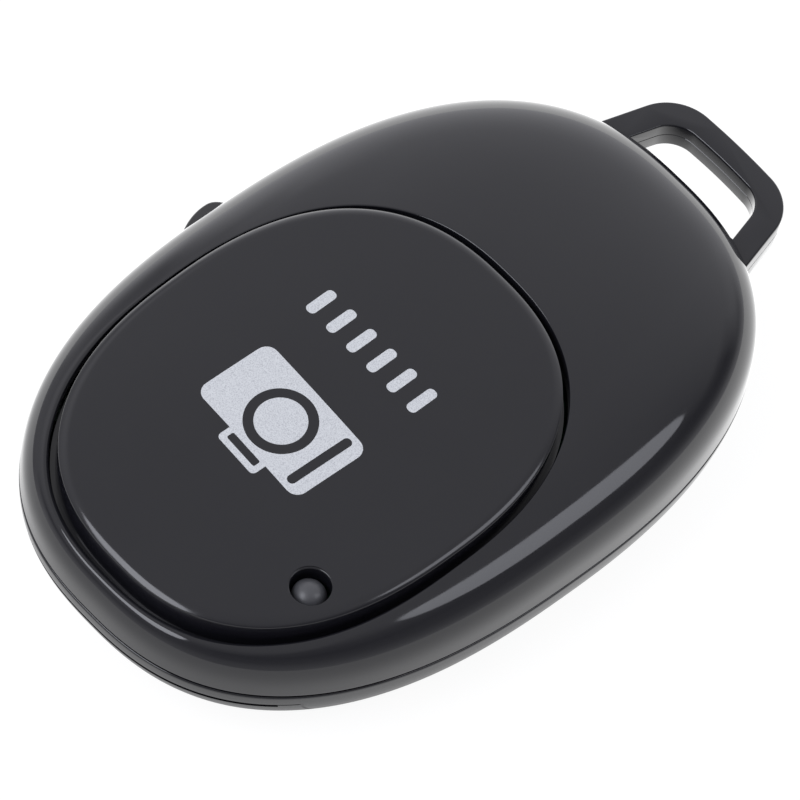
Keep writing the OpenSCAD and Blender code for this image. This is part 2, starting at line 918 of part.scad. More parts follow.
module tact_switch_plunger() {
    color([0.15, 0.15, 0.16])
    translate([0, button_y, board_top_z + tact_height - plunger_rise])
        cylinder(r = plunger_radius, h = plunger_rise * 2 + tact_frame_wall);
}

// Puts a piece on the board at shares of the body's half width and half length
module on_board(place_shares) {
    translate([place_shares[0] * half_width, place_shares[1] * half_length, board_top_z])
        children();
}

module bluetooth_chip() {
    color([0.08, 0.08, 0.09])
    on_board(chip_place_shares)
        translate([-chip_side / 2, -chip_side / 2, 0])
            cube([chip_side, chip_side, chip_height]);
}

module memory_chip() {
    lead = chip_height / 2;
    half_depth = memory_side / 3;
    color([0.08, 0.08, 0.09])
    on_board(memory_place_shares) {
        translate([-memory_side / 2, -half_depth, 0])
            cube([memory_side, half_depth * 2, chip_height]);
        for (end = [-1, 1], share = memory_lead_shares)
            translate([share * memory_side - lead / 2, end * half_depth - lead, 0])
                cube([lead, lead * 2, lead]);
    }
}

module crystal() {
    step = crystal_height / 4;
    color([0.82, 0.82, 0.84])
    on_board(crystal_place_shares) {
        translate([-crystal_width / 2, -crystal_length / 2, 0])
            cube([crystal_width, crystal_length, crystal_height / 2]);
        translate([step - crystal_width / 2, step - crystal_length / 2, 0])
            cube([crystal_width - step * 2, crystal_length - step * 2, crystal_height]);
    }
}

module passives(places_shares, turn) {
    for (place_shares = places_shares)
        on_board(place_shares)
            rotate([0, 0, turn])
                translate([-passive_length / 2, -passive_width / 2, 0])
                    cube([passive_length, passive_width, passive_width]);
}

module capacitors() {
    color([0.62, 0.5, 0.36])
    passives(capacitor_place_shares, 0);
}

module resistors() {
    color([0.12, 0.12, 0.13])
    passives(resistor_place_shares, 90);
}

// A printed aerial that runs to and fro across the front edge of the board
module antenna_trace() {
    start_x = -trace_step * (trace_bars - 1) / 2 - trace_width / 2;
    depth = trace_step * 1.4;
    color([0.82, 0.62, 0.3])
    translate([0, antenna_place_share * half_length, board_top_z])
        for (i = [0:trace_bars - 1]) {
            translate([start_x + i * trace_step, 0, 0])
                cube([trace_width, depth, trace_height]);
            if (i < trace_bars - 1)
                translate([start_x + i * trace_step, i % 2 == 0 ? depth - trace_width : 0, 0])
                    cube([trace_step + trace_width, trace_width, trace_height]);
        }
}

// Battery contacts and coin cell

module positive_contact_space() {
    width = cell_radius * 0.5;
    translate([-width / 2, cell_y + cell_radius * 0.9, cover_wall + cover_gap + ledge_wall])
        cube([width, cell_radius, board_z]);
}

module positive_contact() {
    width = cell_radius * 0.4;
    metal = contact_height * 0.4;
    face_y = cell_y + cell_radius + cell_clearance;
    color([0.85, 0.84, 0.78])
    translate([-width / 2, face_y, 0]) {
        translate([0, 0, board_z - metal])
            cube([width, pocket_outer * 0.32, metal]);
        translate([0, 0, cell_z + cell_thickness * 0.35])
            cube([width, metal, board_z - cell_z - cell_thickness * 0.35]);
    }
}

module negative_contact() {
    width = cell_radius * 0.35;
    metal = contact_height * 0.36;
    reach = cell_radius * 0.45;
    low = contact_height - plunger_gap;
    color([0.85, 0.84, 0.78])
    translate([width / 2, cell_y, board_z])
        rotate([0, -90, 0])
            linear_extrude(width)
                polygon([[0, reach * 1.6], [0, reach], [-low + metal, reach * 0.2],
                    [-low + metal, -reach * 0.2], [-metal, -reach * 0.9], [-metal * 2, -reach * 0.9],
                    [-low, -reach * 0.2], [-low, reach * 0.2], [-metal, reach],
                    [-metal, reach * 1.6]]);
}

// The cell's three pressed parts are turned shapes on one axis

cell_edge = cell_thickness / 10;
cap_radius = cell_radius * 0.88;
seal_radius = cell_radius * 0.945;
cap_floor = cell_thickness * 0.7;

module cell_can() {
    color([0.78, 0.78, 0.8])
    translate([0, cell_y, cell_z])
        rotate_extrude()
            polygon([[0, 0], [cell_radius - cell_edge, 0], [cell_radius, cell_edge],
                [cell_radius, cell_thickness - cell_edge * 2],
                [cell_radius - cell_edge, cell_thickness - cell_edge],
                [seal_radius, cell_thickness - cell_edge],
                [seal_radius, cap_floor], [0, cap_floor]]);
}

module cell_seal() {
    color([0.25, 0.35, 0.4])
    translate([0, cell_y, cell_z])
        rotate_extrude()
            polygon([[cap_radius, cap_floor], [seal_radius, cap_floor],
                [seal_radius, cell_thickness - cell_edge / 2],
                [cap_radius, cell_thickness - cell_edge / 2]]);
}

module cell_cap() {
    color([0.8, 0.8, 0.82])
    translate([0, cell_y, cell_z])
        rotate_extrude()
            polygon([[0, cap_floor], [cap_radius, cap_floor],
                [cap_radius, cell_thickness - cell_edge],
                [cap_radius - cell_edge, cell_thickness], [0, cell_thickness]]);
}

// Screws

module screw(radius, head_radius, head_height, length) {
    difference() {
        union() {
            cylinder(r = head_radius, h = head_height);
            translate([0, 0, head_height])
                cylinder(r = radius, h = length);
        }
        for (turn = [0, 90])
            rotate([0, 0, turn])
                translate([-head_radius * 0.6, -head_radius * 0.13, -head_height])
                    cube([head_radius * 1.2, head_radius * 0.26, head_height * 1.5]);
    }
}

module case_screws() {
    length = board_z - recess_depth + boss_radius;
    color([0.55, 0.55, 0.58])
    at_case_screws()
        translate([0, 0, recess_depth - screw_head_height])
            screw(screw_radius - screw_clearance, screw_head_radius, screw_head_height, length);
}

module board_screws() {
    head_height = board_screw_radius;
    color([0.6, 0.6, 0.62])
    at_board_screws()
        translate([0, 0, board_top_z + head_height])
            mirror([0, 0, 1])
                screw(board_screw_radius - screw_clearance, board_screw_radius * 1.9,
                    head_height, board_top_z - shell_wall - cell_clearance);
}

top_shell();
bottom_shell();
battery_cover();
shutter_button();
led_light_guide();
power_switch_knob();
circuit_board();
tact_switch_base();
tact_switch_frame();
tact_switch_plunger();
slide_switch_body();
slide_switch_lever();
status_led();
bluetooth_chip();
memory_chip();
crystal();
capacitors();
resistors();
antenna_trace();
positive_contact();
negative_contact();
cell_can();
cell_seal();
cell_cap();
case_screws();
board_screws();
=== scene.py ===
import math

import bpy
import numpy as np
from mathutils import Matrix, Vector


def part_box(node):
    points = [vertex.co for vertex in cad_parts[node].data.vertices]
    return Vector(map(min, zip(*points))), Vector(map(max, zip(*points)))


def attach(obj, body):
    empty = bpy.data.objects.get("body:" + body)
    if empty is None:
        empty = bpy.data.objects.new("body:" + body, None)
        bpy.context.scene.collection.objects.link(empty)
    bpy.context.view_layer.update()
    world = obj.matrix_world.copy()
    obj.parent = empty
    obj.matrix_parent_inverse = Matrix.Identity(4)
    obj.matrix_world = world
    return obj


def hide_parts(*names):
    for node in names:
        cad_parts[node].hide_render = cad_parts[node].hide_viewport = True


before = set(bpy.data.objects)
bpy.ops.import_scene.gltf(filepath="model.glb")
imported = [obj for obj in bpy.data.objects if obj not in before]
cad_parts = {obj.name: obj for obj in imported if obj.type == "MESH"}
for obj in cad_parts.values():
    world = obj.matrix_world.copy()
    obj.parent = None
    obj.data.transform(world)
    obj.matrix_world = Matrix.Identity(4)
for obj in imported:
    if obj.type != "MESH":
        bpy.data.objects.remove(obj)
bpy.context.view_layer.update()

MM = 0.001

# Sizes of the housing in millimetres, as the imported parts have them
HALF_LENGTH = 23.25
HALF_WIDTH = 15.5
SEAM_Z = 5.3
HALF_SEAM_GAP = 0.08
SHELL_WALL = 1.4
PLAN_POWER = 2.46
CROWN_HEIGHT = 6.05
CROWN_SLOPE = 0.036
CROWN_PEAK_Y = HALF_LENGTH * 0.344
TAIL_POWER = 4.39
HUMP_POWER = 3.36
LAND_HEIGHT = 2.65
LAND_SLOPE = 0.14
LAND_BLEND = 0.07
FLAT_SHARE = 0.7

# Button
BUTTON_HALF_LENGTH = 14.75
BUTTON_HALF_WIDTH = 11.95
BUTTON_Y = -7.0
BUTTON_POWER = 2.4
BUTTON_EGG = 0.016
BUTTON_EDGE_Z = 10.45
BUTTON_TILT = 0.07
BUTTON_DOME = 0.5
BUTTON_WALL = 1.2
BUTTON_BEVEL = 0.2
BUTTON_GAP = 0.4
BUTTON_TRAVEL = 0.3
SKIRT_WALL = 0.96
SKIRT_DEPTH = 2.604
FLANGE_REACH = 0.28
WELL_WALL = 0.91
WELL_TURN = 20
POST_RADIUS = 1.848
POST_Z = 8.34
RIB_START = 0.8
RIB_END = 11.2
RIB_HALF_WALL = 0.36
RIB_DEPTH = 0.3
HOLLOW_DOME = BUTTON_DOME * 0.9
TAB_REACH = 0.88
TAB_LENGTH = 3.6
TAB_HEIGHT = 0.6
TAB_CLEARANCE = 0.1
SIDE_TAB_Y = -10.54
FRONT_TAB_Y = 7.75
LED_PLACE = (8.5, -14.56)
LED_RADIUS = 1.2
LED_LIP = 0.1

# Light guide
GUIDE_RADIUS = 1.049
GUIDE_FOOT_Z = 6.55
GUIDE_FOOT_HEIGHT = 0.33
GUIDE_FOOT_RADIUS = GUIDE_RADIUS * 1.6
GUIDE_DOME_HEIGHT = GUIDE_RADIUS * 0.85
GUIDE_DOME_REACH = 0.65
PEG_RADIUS = GUIDE_RADIUS / 3
PEG_OFFSET = GUIDE_RADIUS * 1.3
PEG_LOW_Z = 5.0
PEG_HIGH_Z = 6.7

# Battery cover and its recess
COVER_HALF_WIDTH = 11.7
COVER_END_Y = 5.0
COVER_CORNER = 3.9
COVER_TOP_Z = 4.3
COVER_WALL = 1.1
COVER_GAP = 0.1
PRY_GAP = 0.32
PRY_HALF_WIDTH = 10.95
LUG_PLACES = ((7.5, 3.9), (7.0, -18.5))
LUG_HALF_WIDTH = 1.2
LUG_HALF_WALL = 0.35
LUG_TOP_Z = 3.1
LUG_ROOM_Z = 4.5
CELL_Y = -7.0
CELL_ROOM_RADIUS = 10.25
CELL_RING_RADIUS = 11.05
CELL_RING_TOP_Z = 5.0
LEDGE_WIDTH = 1.0
LEDGE_WALL = 1.2
LEDGE_INSET = 2.0
LEDGE_TOP_Z = 4.85
CONTACT_ROOM = ((-2.5, 2, 2.0), (2.5, 8, 9))

# Loop
LOOP_ROOT_Y = HALF_LENGTH * 0.86
LOOP_END_Y = 27.596
LOOP_ROOT_X = 7.0
LOOP_END_X = 4.95
LOOP_BAR = 1.7
LOOP_THICKNESS = 1.95
LOOP_CORNER = LOOP_BAR * 1.85
LOOP_INNER_CORNER = LOOP_CORNER - LOOP_BAR * 0.73
LOOP_END_BAR = LOOP_BAR * 0.9
LOOP_BOW = LOOP_BAR / 25
LOOP_SLANT = (LOOP_ROOT_X - LOOP_END_X) / (LOOP_END_Y - LOOP_ROOT_Y)
LOOP_ROOT_DEPTH = 6
PARTING_SHARE = 0.52
PARTING_HALF_WIDTH = 0.035
PARTING_DEPTH = 0.05

# Tongue of the lower shell, in its rebate in the upper one
TONGUE_INSET = 0.77
TONGUE_WALL = 0.588
TONGUE_DEPTH = 0.76
TONGUE_HEIGHT = 0.7
TONGUE_CLEARANCE = 0.1
REBATE_WALL = 0.6

# Hooks that hold the shells together at the tail
HOOK_X = 5
HOOK_Y = -20.315
HOOK_HALF_WIDTH = 1.5
HOOK_WALL = 0.7
HOOK_LOW_Z = 2.4
HOOK_TOP_Z = 6.4
BARB_REACH = 0.9
BARB_HEIGHT = 0.6

# Screws by x and y, their posts by radius and height, and their holes
CASE_SCREW = (7.6, 13.6)
BOARD_SCREW = (10.4, 7.6)
BOSS_RADIUS = 1.85
BOSS_LOW_Z = 5.0
BOSS_HIGH_Z = 9.9
BORE_RADIUS = 0.7
BORE_LOW_Z = 4.0
BORE_HIGH_Z = 8.8
CASE_POST = (2.2, 4.95)
BOARD_POST = (1.5, 5.0)
COUNTERBORE_RADIUS = 1.508
COUNTERBORE_TOP_Z = 1.68
SCREW_HOLE_RADIUS = 0.9
PILOT_RADIUS = 0.6
PILOT_LOW_Z = 1.4

# Slide switch
NUB_Y = -0.884
NUB_LENGTH = 3.4
NUB_HEIGHT = 1.12
NUB_REACH = 0.66
NUB_PEAK = 0.66
NUB_END_POWER = 2.6
SWITCH_Z = 6.5
SWITCH_TRAVEL = 2.0
SLOT_CLEARANCE = 0.15
PLATE_X = -13.825
PLATE_ROOM_LENGTH = NUB_LENGTH + SWITCH_TRAVEL * 3.3
PLATE_WALL = 0.7
PLATE_OVERLAP = 0.3
PLATE_ROOM_RISE = 1.4
FORK_SPREAD = 0.995
FORK_HALF_WALL = 0.305
FORK_HALF_HEIGHT = 0.4

# Studio. Azimuth 0 is towards -Y and 90 towards +X. The sky's grey levels are given by azimuth,
# one for each of the elevations.
SKY_ELEVATIONS = (0, 5, 10, 15, 20, 25, 30, 40, 50, 60, 90)
SKY_LEVELS = {
    7: (0.84, 0.70, 0.60, 0.50, 0.40, 0.36, 0.35, 0.35, 0.48, 0.58, 0.66),
    30: (0.64, 0.58, 0.55, 0.52, 0.40, 0.29, 0.28, 0.23, 0.43, 0.58, 0.66),
    75: (0.82, 0.70, 0.60, 0.52, 0.43, 0.35, 0.30, 0.20, 0.30, 0.60, 0.66),
    112: (0.95, 0.75, 0.55, 0.45, 0.40, 0.30, 0.30, 0.25, 0.35, 0.62, 0.66),
    142: (1.10, 0.84, 0.50, 0.28, 0.20, 0.20, 0.26, 0.40, 0.55, 0.60, 0.66),
    158: (1.12, 0.76, 0.34, 0.22, 0.20, 0.32, 0.58, 0.57, 0.57, 0.60, 0.66),
    172: (1.20, 0.80, 0.60, 0.80, 0.86, 0.80, 0.80, 0.76, 0.70, 0.64, 0.66),
    188: (1.50, 1.38, 1.30, 1.22, 1.12, 1.04, 1.00, 0.90, 0.80, 0.70, 0.66),
    232: (1.70, 1.55, 1.45, 1.34, 1.21, 1.09, 1.05, 0.95, 0.85, 0.70, 0.66),
    240: (1.95, 1.72, 1.60, 1.47, 1.36, 1.22, 0.95, 0.80, 0.85, 0.71, 0.66),
    243: (1.95, 1.70, 1.60, 1.45, 1.15, 0.80, 0.80, 0.90, 0.90, 0.71, 0.66),
    248: (1.90, 1.60, 1.15, 0.73, 0.55, 0.60, 0.85, 1.15, 0.95, 0.72, 0.66),
    265: (0.80, 0.70, 0.68, 0.68, 0.70, 0.80, 0.95, 1.10, 0.96, 0.73, 0.66),
    292: (0.65, 0.60, 0.70, 0.73, 0.78, 0.80, 0.86, 0.94, 0.88, 0.76, 0.66),
    312: (1.20, 1.06, 0.80, 0.40, 0.33, 0.68, 0.75, 0.75, 0.71, 0.74, 0.66),
    338: (0.90, 0.76, 0.60, 0.42, 0.35, 0.60, 0.65, 0.65, 0.65, 0.70, 0.66)}
SKY_TINT = (0.985, 0.985, 1.03)
SKY_STRENGTH = 2.0
# Azimuth towards which the table's painted glow, as the object mirrors it, is brightest
BRIGHT_SIDE = 220

# Table: the white that lights the object, the glow that is seen with the share that takes shadows,
# and the levels of the painted glow that the object mirrors, at the front and towards the bright side
FLOOR_HALF_SIZE = 3000
FLOOR_Z = -0.02
FLOOR_WHITE = 0.85
FLOOR_GLOW = 0.92
FLOOR_SHADED = 0.16
FLOOR_LEVELS = (1.0, 2.0)
# Reach in millimetres of the painted contact shade that darkens the mirrored glow near the object
CONTACT_SHADE = 4.5

# Softboxes as azimuth, elevation, roll, width and height in metres, and radiance
LAMP_DISTANCE = 1.0
SOFTBOXES = [("softbox_right", 128.0, 47.0, 48.7, 0.28, 0.65, 2.65),
             ("softbox_left", 341.0, 49.0, -22.2, 0.78, 0.46, 4.8)]
SOFTBOX_COLOUR = (0.9, 0.92, 1.0)

# Camera, with azimuth, elevation and roll in degrees and lengths in millimetres
CAMERA_TURNS = (37.521, 55.209, 12.479)
CAMERA_TARGET = (-2.05, 3.497, 0)
CAMERA_DISTANCE = 550
CAMERA_LENS = 425.0
CAMERA_SENSOR = 36.0

# Points round each outline, and how far a cutter runs past what it cuts
COLUMNS = 288
ALL_TURNS = np.arange(COLUMNS) * 360.0 / COLUMNS
OVERRUN = 3.0

# Rounded edges, the well's with a value at the front and one at the tail. The crease's limits are shares
# of the way from the seam to the well. An edge over the smooth angle in degrees stays sharp.
EDGE = 0.12
LOOP_EDGE = 0.14
WELL_EDGE = (0.1, 0.6)
WELL_EDGE_DROP = (0.1, 0.25)
WELL_EDGE_START = 0.1
WELL_EDGE_SPAN = 0.8
BUTTON_ROUND = 1.0
BUTTON_CORNER = 0.06
BUTTON_TURN = 35
CREASE_LIMITS = (0.02, 0.9)
SMOOTH_ANGLE = 32

# Print: the heights between which its shapes stand before they are cut to a layer on the dome
PRINT_LOW = BUTTON_EDGE_Z - 1
PRINT_HIGH = BUTTON_EDGE_Z + 2
INK_THICKNESS = 0.012
INK_SINK = 0.03
INK_WHITE = (0.66, 0.68, 0.70)
INK_SPECK = (0.38, 0.39, 0.42)
SIGN_TURN = -2.8
LENS_PLACE = (-0.55, -8.85)
LENS_RADIUS = 1.56
LENS_HOLE_RADIUS = 2.18
BAR_COUNT = 6
BAR_FIRST_X = -5.1
BAR_LAST_X = 3.5
BAR_Y = -1.725
BAR_WIDTH = 0.7
BAR_LENGTH = 2.05
BAR_CORNER = 0.3

# Plastics: two colours, range of roughness, scale and depth of the grain, index of refraction. The scales
# of their mottled colour and gloss are the same for all.
MOTTLE_SCALE = 260
GLOSS_SCALE = 900
PLASTICS = {
    "housing_black": ((0.009, 0.009, 0.012), (0.011, 0.011, 0.014), (0.05, 0.08), 500, 0.0000015, 1.53),
    "button_black": ((0.008, 0.008, 0.011), (0.010, 0.010, 0.013), (0.10, 0.15), 500, 0.0000015, 1.53),
    "knob_black": ((0.016, 0.016, 0.017), (0.022, 0.022, 0.023), (0.35, 0.5), 3000, 0.000006, 1.55),
    "smoked_lens": ((0.056, 0.057, 0.063), (0.068, 0.069, 0.076), (0.3, 0.45), 2500, 0.000003, 1.55),
    "board_green": ((0.01, 0.09, 0.035), (0.015, 0.12, 0.045), (0.25, 0.4), 2000, 0.000004, 1.55),
    "black_resin": ((0.012, 0.012, 0.013), (0.02, 0.02, 0.02), (0.45, 0.6), 4000, 0.000006, 1.55),
    "tan_ceramic": ((0.4, 0.28, 0.16), (0.46, 0.33, 0.2), (0.35, 0.5), 4000, 0.000004, 1.55),
    "pale_resin": ((0.8, 0.77, 0.6), (0.85, 0.83, 0.68), (0.15, 0.25), 2000, 0.000002, 1.55),
    "seal_resin": ((0.1, 0.14, 0.18), (0.13, 0.17, 0.21), (0.4, 0.5), 2000, 0.000004, 1.55)}

# Metals: two colours, range of roughness, scale of the mottling
METALS = {
    "nickel": ((0.62, 0.61, 0.57), (0.7, 0.69, 0.66), (0.2, 0.35), 1500),
    "spun_steel": ((0.6, 0.6, 0.61), (0.68, 0.68, 0.7), (0.22, 0.34), 900),
    "gold": ((0.78, 0.55, 0.24), (0.85, 0.62, 0.3), (0.2, 0.3), 1500),
    "dark_steel": ((0.25, 0.25, 0.27), (0.33, 0.33, 0.35), (0.3, 0.42), 1500)}
METAL_GRAIN = 0.000004

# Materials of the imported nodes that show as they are
NODE_MATERIALS = {
    "board_green": ["circuit_board"],
    "black_resin": ["tact_switch_base", "tact_switch_plunger", "slide_switch_lever", "bluetooth_chip",
                    "memory_chip", "resistors"],
    "tan_ceramic": ["capacitors"],
    "pale_resin": ["status_led"],
    "seal_resin": ["cell_seal"],
    "nickel": ["tact_switch_frame", "slide_switch_body", "crystal", "positive_contact", "negative_contact"],
    "spun_steel": ["cell_can", "cell_cap"],
    "gold": ["antenna_trace"],
    "dark_steel": ["case_screws", "board_screws"]}


# Outlines

def signed_power(value, power):
    return np.sign(value) * np.abs(value) ** power


def oval(half_x, half_y, power, turns, egg=0.0):
    """Points of an oval whose corners fill out as the power grows past two."""
    angle = np.radians(turns)
    y = signed_power(np.sin(angle), 2 / power)
    x = half_x * signed_power(np.cos(angle), 2 / power) * (1 + egg * y)
    return np.column_stack([x, half_y * y])


def body_outline(inset):
    return oval(HALF_WIDTH - inset, HALF_LENGTH - inset, PLAN_POWER, ALL_TURNS)


def button_outline(grow, turns=ALL_TURNS):
    points = oval(BUTTON_HALF_WIDTH + grow, BUTTON_HALF_LENGTH + grow, BUTTON_POWER, turns, BUTTON_EGG)
    return points + [0, BUTTON_Y]


def well_outline(grow):
    """The button's outline, paired with the body's so that the rows between them run straight."""
    return button_outline(BUTTON_GAP + grow, ALL_TURNS + WELL_TURN * np.cos(np.radians(ALL_TURNS)))


def reach(points, inset=0.0):
    """0 in the middle of the body's plan and 1 on its edge."""
    x = np.abs(points[:, 0]) / (HALF_WIDTH - inset)
    y = np.abs(points[:, 1]) / (HALF_LENGTH - inset)
    return (x ** PLAN_POWER + y ** PLAN_POWER) ** (1 / PLAN_POWER)


def crown_z(points, inset=0.0):
    edge = np.minimum(1, reach(points, inset))
    along = 0.5 + 0.5 * points[:, 1] / HALF_LENGTH
    power = TAIL_POWER + (HUMP_POWER - TAIL_POWER) * along
    rise = CROWN_HEIGHT - inset + CROWN_SLOPE * (points[:, 1] - CROWN_PEAK_Y)
    return SEAM_Z + rise * np.maximum(0, 1 - edge ** PLAN_POWER) ** (1 / power)


def land_z(points):
    return SEAM_Z + LAND_HEIGHT + LAND_SLOPE * (points[:, 1] + HALF_LENGTH)


def top_z(points):
    """The crown cut off by the land behind the button, with a small round where they meet."""
    crown, land = crown_z(points), land_z(points)
    mix = np.clip(0.5 + 0.5 * (land - crown) / LAND_BLEND, 0, 1)
    return land * (1 - mix) + crown * mix - LAND_BLEND * mix * (1 - mix)


def button_plane_z(points):
    return BUTTON_EDGE_Z + BUTTON_TILT * (points[:, 1] - BUTTON_Y)


def skirt_z(points):
    """Height of the lower edge of the button's skirt, which is parallel to its top."""
    return button_plane_z(points) - SKIRT_DEPTH


def with_z(points, z):
    return np.column_stack([points, np.broadcast_to(z, len(points))])


# Meshes

def make_mesh(name, points, faces):
    mesh = bpy.data.meshes.new(name)
    mesh.from_pydata([tuple(p) for p in np.asarray(points) * MM], [], faces)
    mesh.update()
    piece = bpy.data.objects.new(name, mesh)
    bpy.context.scene.collection.objects.link(piece)
    return piece


def ring_faces(rows, count):
    faces = []
    for row in range(rows - 1):
        for i in range(count):
            a = row * count + i
            b = row * count + (i + 1) % count
            faces.append((a, b, b + count, a + count))
    return faces


def stacked(name, rings, tip=None):
    """A solid from a flat first ring to a flat last ring, or to a tip over the last. The rings run
    anticlockwise seen from the end."""
    count = len(rings[0])
    last = (len(rings) - 1) * count
    faces = ring_faces(len(rings), count)
    faces.append(tuple(range(count - 1, -1, -1)))
    if tip is None:
        faces.append(tuple(range(last, last + count)))
        return make_mesh(name, np.vstack(rings), faces)
    faces += [(last + i, last + (i + 1) % count, last + count) for i in range(count)]
    return make_mesh(name, np.vstack([*rings, [tip]]), faces)


def annular(name, rings):
    """A solid that runs round an opening: its last ring joins its first."""
    count = len(rings[0])
    last = (len(rings) - 1) * count
    faces = ring_faces(len(rings), count)
    faces += [(last + i, last + (i + 1) % count, (i + 1) % count, i) for i in range(count)]
    return make_mesh(name, np.vstack(rings), faces)


def prism(name, outline, low, high):
    outline = np.asarray(outline, float)
    return stacked(name, [with_z(outline, low), with_z(outline, high)])


def block(name, low, high):
    (x0, y0, z0), (x1, y1, z1) = low, high
    return prism(name, [(x0, y0), (x1, y0), (x1, y1), (x0, y1)], z0, z1)


def turned(name, profile, place, segments=64, tilt=0.0):
    """A solid of revolution from (radius, height) points, listed from its foot to its top."""
    angles = np.arange(segments) * 2 * math.pi / segments
    circle = np.column_stack([np.cos(angles), np.sin(angles)])
    piece = stacked(name, [with_z(circle * radius, height) for radius, height in profile])
    piece.data.transform(Matrix.Translation(Vector(place) * MM) @ Matrix.Rotation(tilt, 4, "X"))
    return piece


def rod(name, radius, low, high, x, y, segments=64):
    """An upright cylinder, for a post, a ring or a bore."""
    return turned(name, [(radius, low), (radius, high)], (x, y, 0), segments)


def bake_modifiers(piece):
    """Turns the piece's evaluated shape into its plain mesh."""
    graph = bpy.context.evaluated_depsgraph_get()
    graph.update()
    mesh = bpy.data.meshes.new_from_object(piece.evaluated_get(graph))
    piece.modifiers.clear()
    old = piece.data
    piece.data = mesh
    bpy.data.meshes.remove(old)


def combine(piece, other, how):
    """Cuts, joins or intersects a piece with another, which is used up."""
    modifier = piece.modifiers.new("shape", "BOOLEAN")
    modifier.operation = how
    modifier.solver = "MANIFOLD"
    modifier.object = other
    bake_modifiers(piece)
    mesh = other.data
    bpy.data.objects.remove(other)
    bpy.data.meshes.remove(mesh)
    if len(piece.data.polygons) == 0:
        raise RuntimeError(piece.name + " came out empty")
    return piece


def cut(piece, *others):
    for other in others:
        combine(piece, other, "DIFFERENCE")
    return piece


def join(piece, *others):
    for other in others:
        combine(piece, other, "UNION")
    return piece


def keep_common(piece, other):
    return combine(piece, other, "INTERSECT")


def finish_piece(piece, body, material, slot, *nodes):
    """Gives a piece smooth shading, its material and its body, and hides the nodes that it replaces. The slot
    argument is not used.
    """
    mesh = piece.data
    mesh.shade_smooth()
    mesh.set_sharp_from_angle(angle=math.radians(SMOOTH_ANGLE))
    mesh.materials.clear()
    mesh.materials.append(material)
    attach(piece, body)
    if nodes:
        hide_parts(*nodes)


def quarter(steps):
    """Sine and one minus cosine over a quarter turn."""
    angles = np.linspace(0, math.pi / 2, steps + 1)
    return [(math.sin(a), 1 - math.cos(a)) for a in angles]


# Top shell

def well_edge():
    """Width and drop of the round along the well's lip: fine at the front, wide at the tail."""
    y = (well_outline(0)[:, 1] - BUTTON_Y) / BUTTON_HALF_LENGTH
    share = np.clip((WELL_EDGE_START - y) / WELL_EDGE_SPAN, 0, 1)
    share = share * share * (3 - 2 * share)
    return [low + (high - low) * share for low, high in (WELL_EDGE, WELL_EDGE_DROP)]


def crease_share():
    """Where each row from the seam to the well crosses the edge of the land, as a share of the row."""
    shares = np.linspace(0, 1, 400)
    outer, inner = body_outline(0), well_outline(well_edge()[0])
    found = np.full(COLUMNS, CREASE_LIMITS[1])
    for i in range(COLUMNS):
        row = outer[i] * (1 - shares[:, None]) + inner[i] * shares[:, None]
        over = crown_z(row) > land_z(row)
        if over.any():
            found[i] = shares[np.argmax(over)]
    return np.clip(found, *CREASE_LIMITS)


def crown_rows():
    """The rings from the seam to the well, close together at the seam and at the crease."""
    outer, inner = body_outline(0), well_outline(well_edge()[0])
    crease = crease_share()
    crease = np.array([np.mean([crease[(i + k) % COLUMNS] for k in range(-1, 2)]) for i in range(COLUMNS)])
    rows = [crease * step ** 4 for step in np.arange(1, 45) / 44]
    rows += [crease + (1 - crease) * step ** 1.6 for step in np.linspace(0, 1, 42)[1:]]
    rings = []
    for share in rows:
        points = outer * (1 - share[:, None]) + inner * share[:, None]
        rings.append(with_z(points, top_z(points)))
    return rings


def make_top_shell():
    base = SEAM_Z + HALF_SEAM_GAP
    rings = [with_z(body_outline(EDGE * (1 - s)), base + EDGE * c) for s, c in quarter(5)]
    rings += [ring for ring in crown_rows() if (ring[:, 2] > base + EDGE * 1.05).all()]
    lip, drop = well_edge()
    for s, c in quarter(9)[1:]:
        points = well_outline(lip * (1 - s))
        rings.append(with_z(points, top_z(points) - drop * c))
    rings.append(with_z(well_outline(0), base))
    shell = annular("top_shell_skin", rings)
    join(shell, make_loop())
    cavity_rings = [with_z(body_outline(SHELL_WALL), SEAM_Z - OVERRUN)]
    for share in 1 - 0.95 * np.linspace(0, 1, 40) ** 3:
        points = body_outline(SHELL_WALL) * share
        cavity_rings.append(with_z(points, crown_z(points, SHELL_WALL)))
    middle = crown_z(np.array([[0.0, 0.0]]), SHELL_WALL)[0]
    cavity = stacked("cavity", cavity_rings, (0, 0, middle))
    wall = button_outline(BUTTON_GAP + WELL_WALL)
    cut(cavity, stacked("well_block", [with_z(wall, skirt_z(wall) + TAB_HEIGHT + TAB_CLEARANCE),
                                       with_z(wall, SEAM_Z + CROWN_HEIGHT + OVERRUN)]))
    cut(shell, cavity)
    cut(shell, *tabs(TAB_CLEARANCE, BUTTON_TRAVEL + TAB_CLEARANCE, TAB_CLEARANCE))
    cut(shell, switch_slot(), plate_space())
    cut(shell, tongue_ring("rebate", TONGUE_INSET - TONGUE_CLEARANCE, SHELL_WALL + REBATE_WALL,
                           SEAM_Z - OVERRUN, SEAM_Z + TONGUE_HEIGHT + TONGUE_CLEARANCE))
    x, y = CASE_SCREW
    for side in (-1, 1):
        boss = rod("boss", BOSS_RADIUS, BOSS_LOW_Z, BOSS_HIGH_Z, side * x, y)
        cut(boss, rod("bore", BORE_RADIUS, BORE_LOW_Z, BORE_HIGH_Z, side * x, y, 32))
        join(shell, boss)
    return shell


def tab_z(y):
    return float(skirt_z(np.array([(0, y)]))[0])


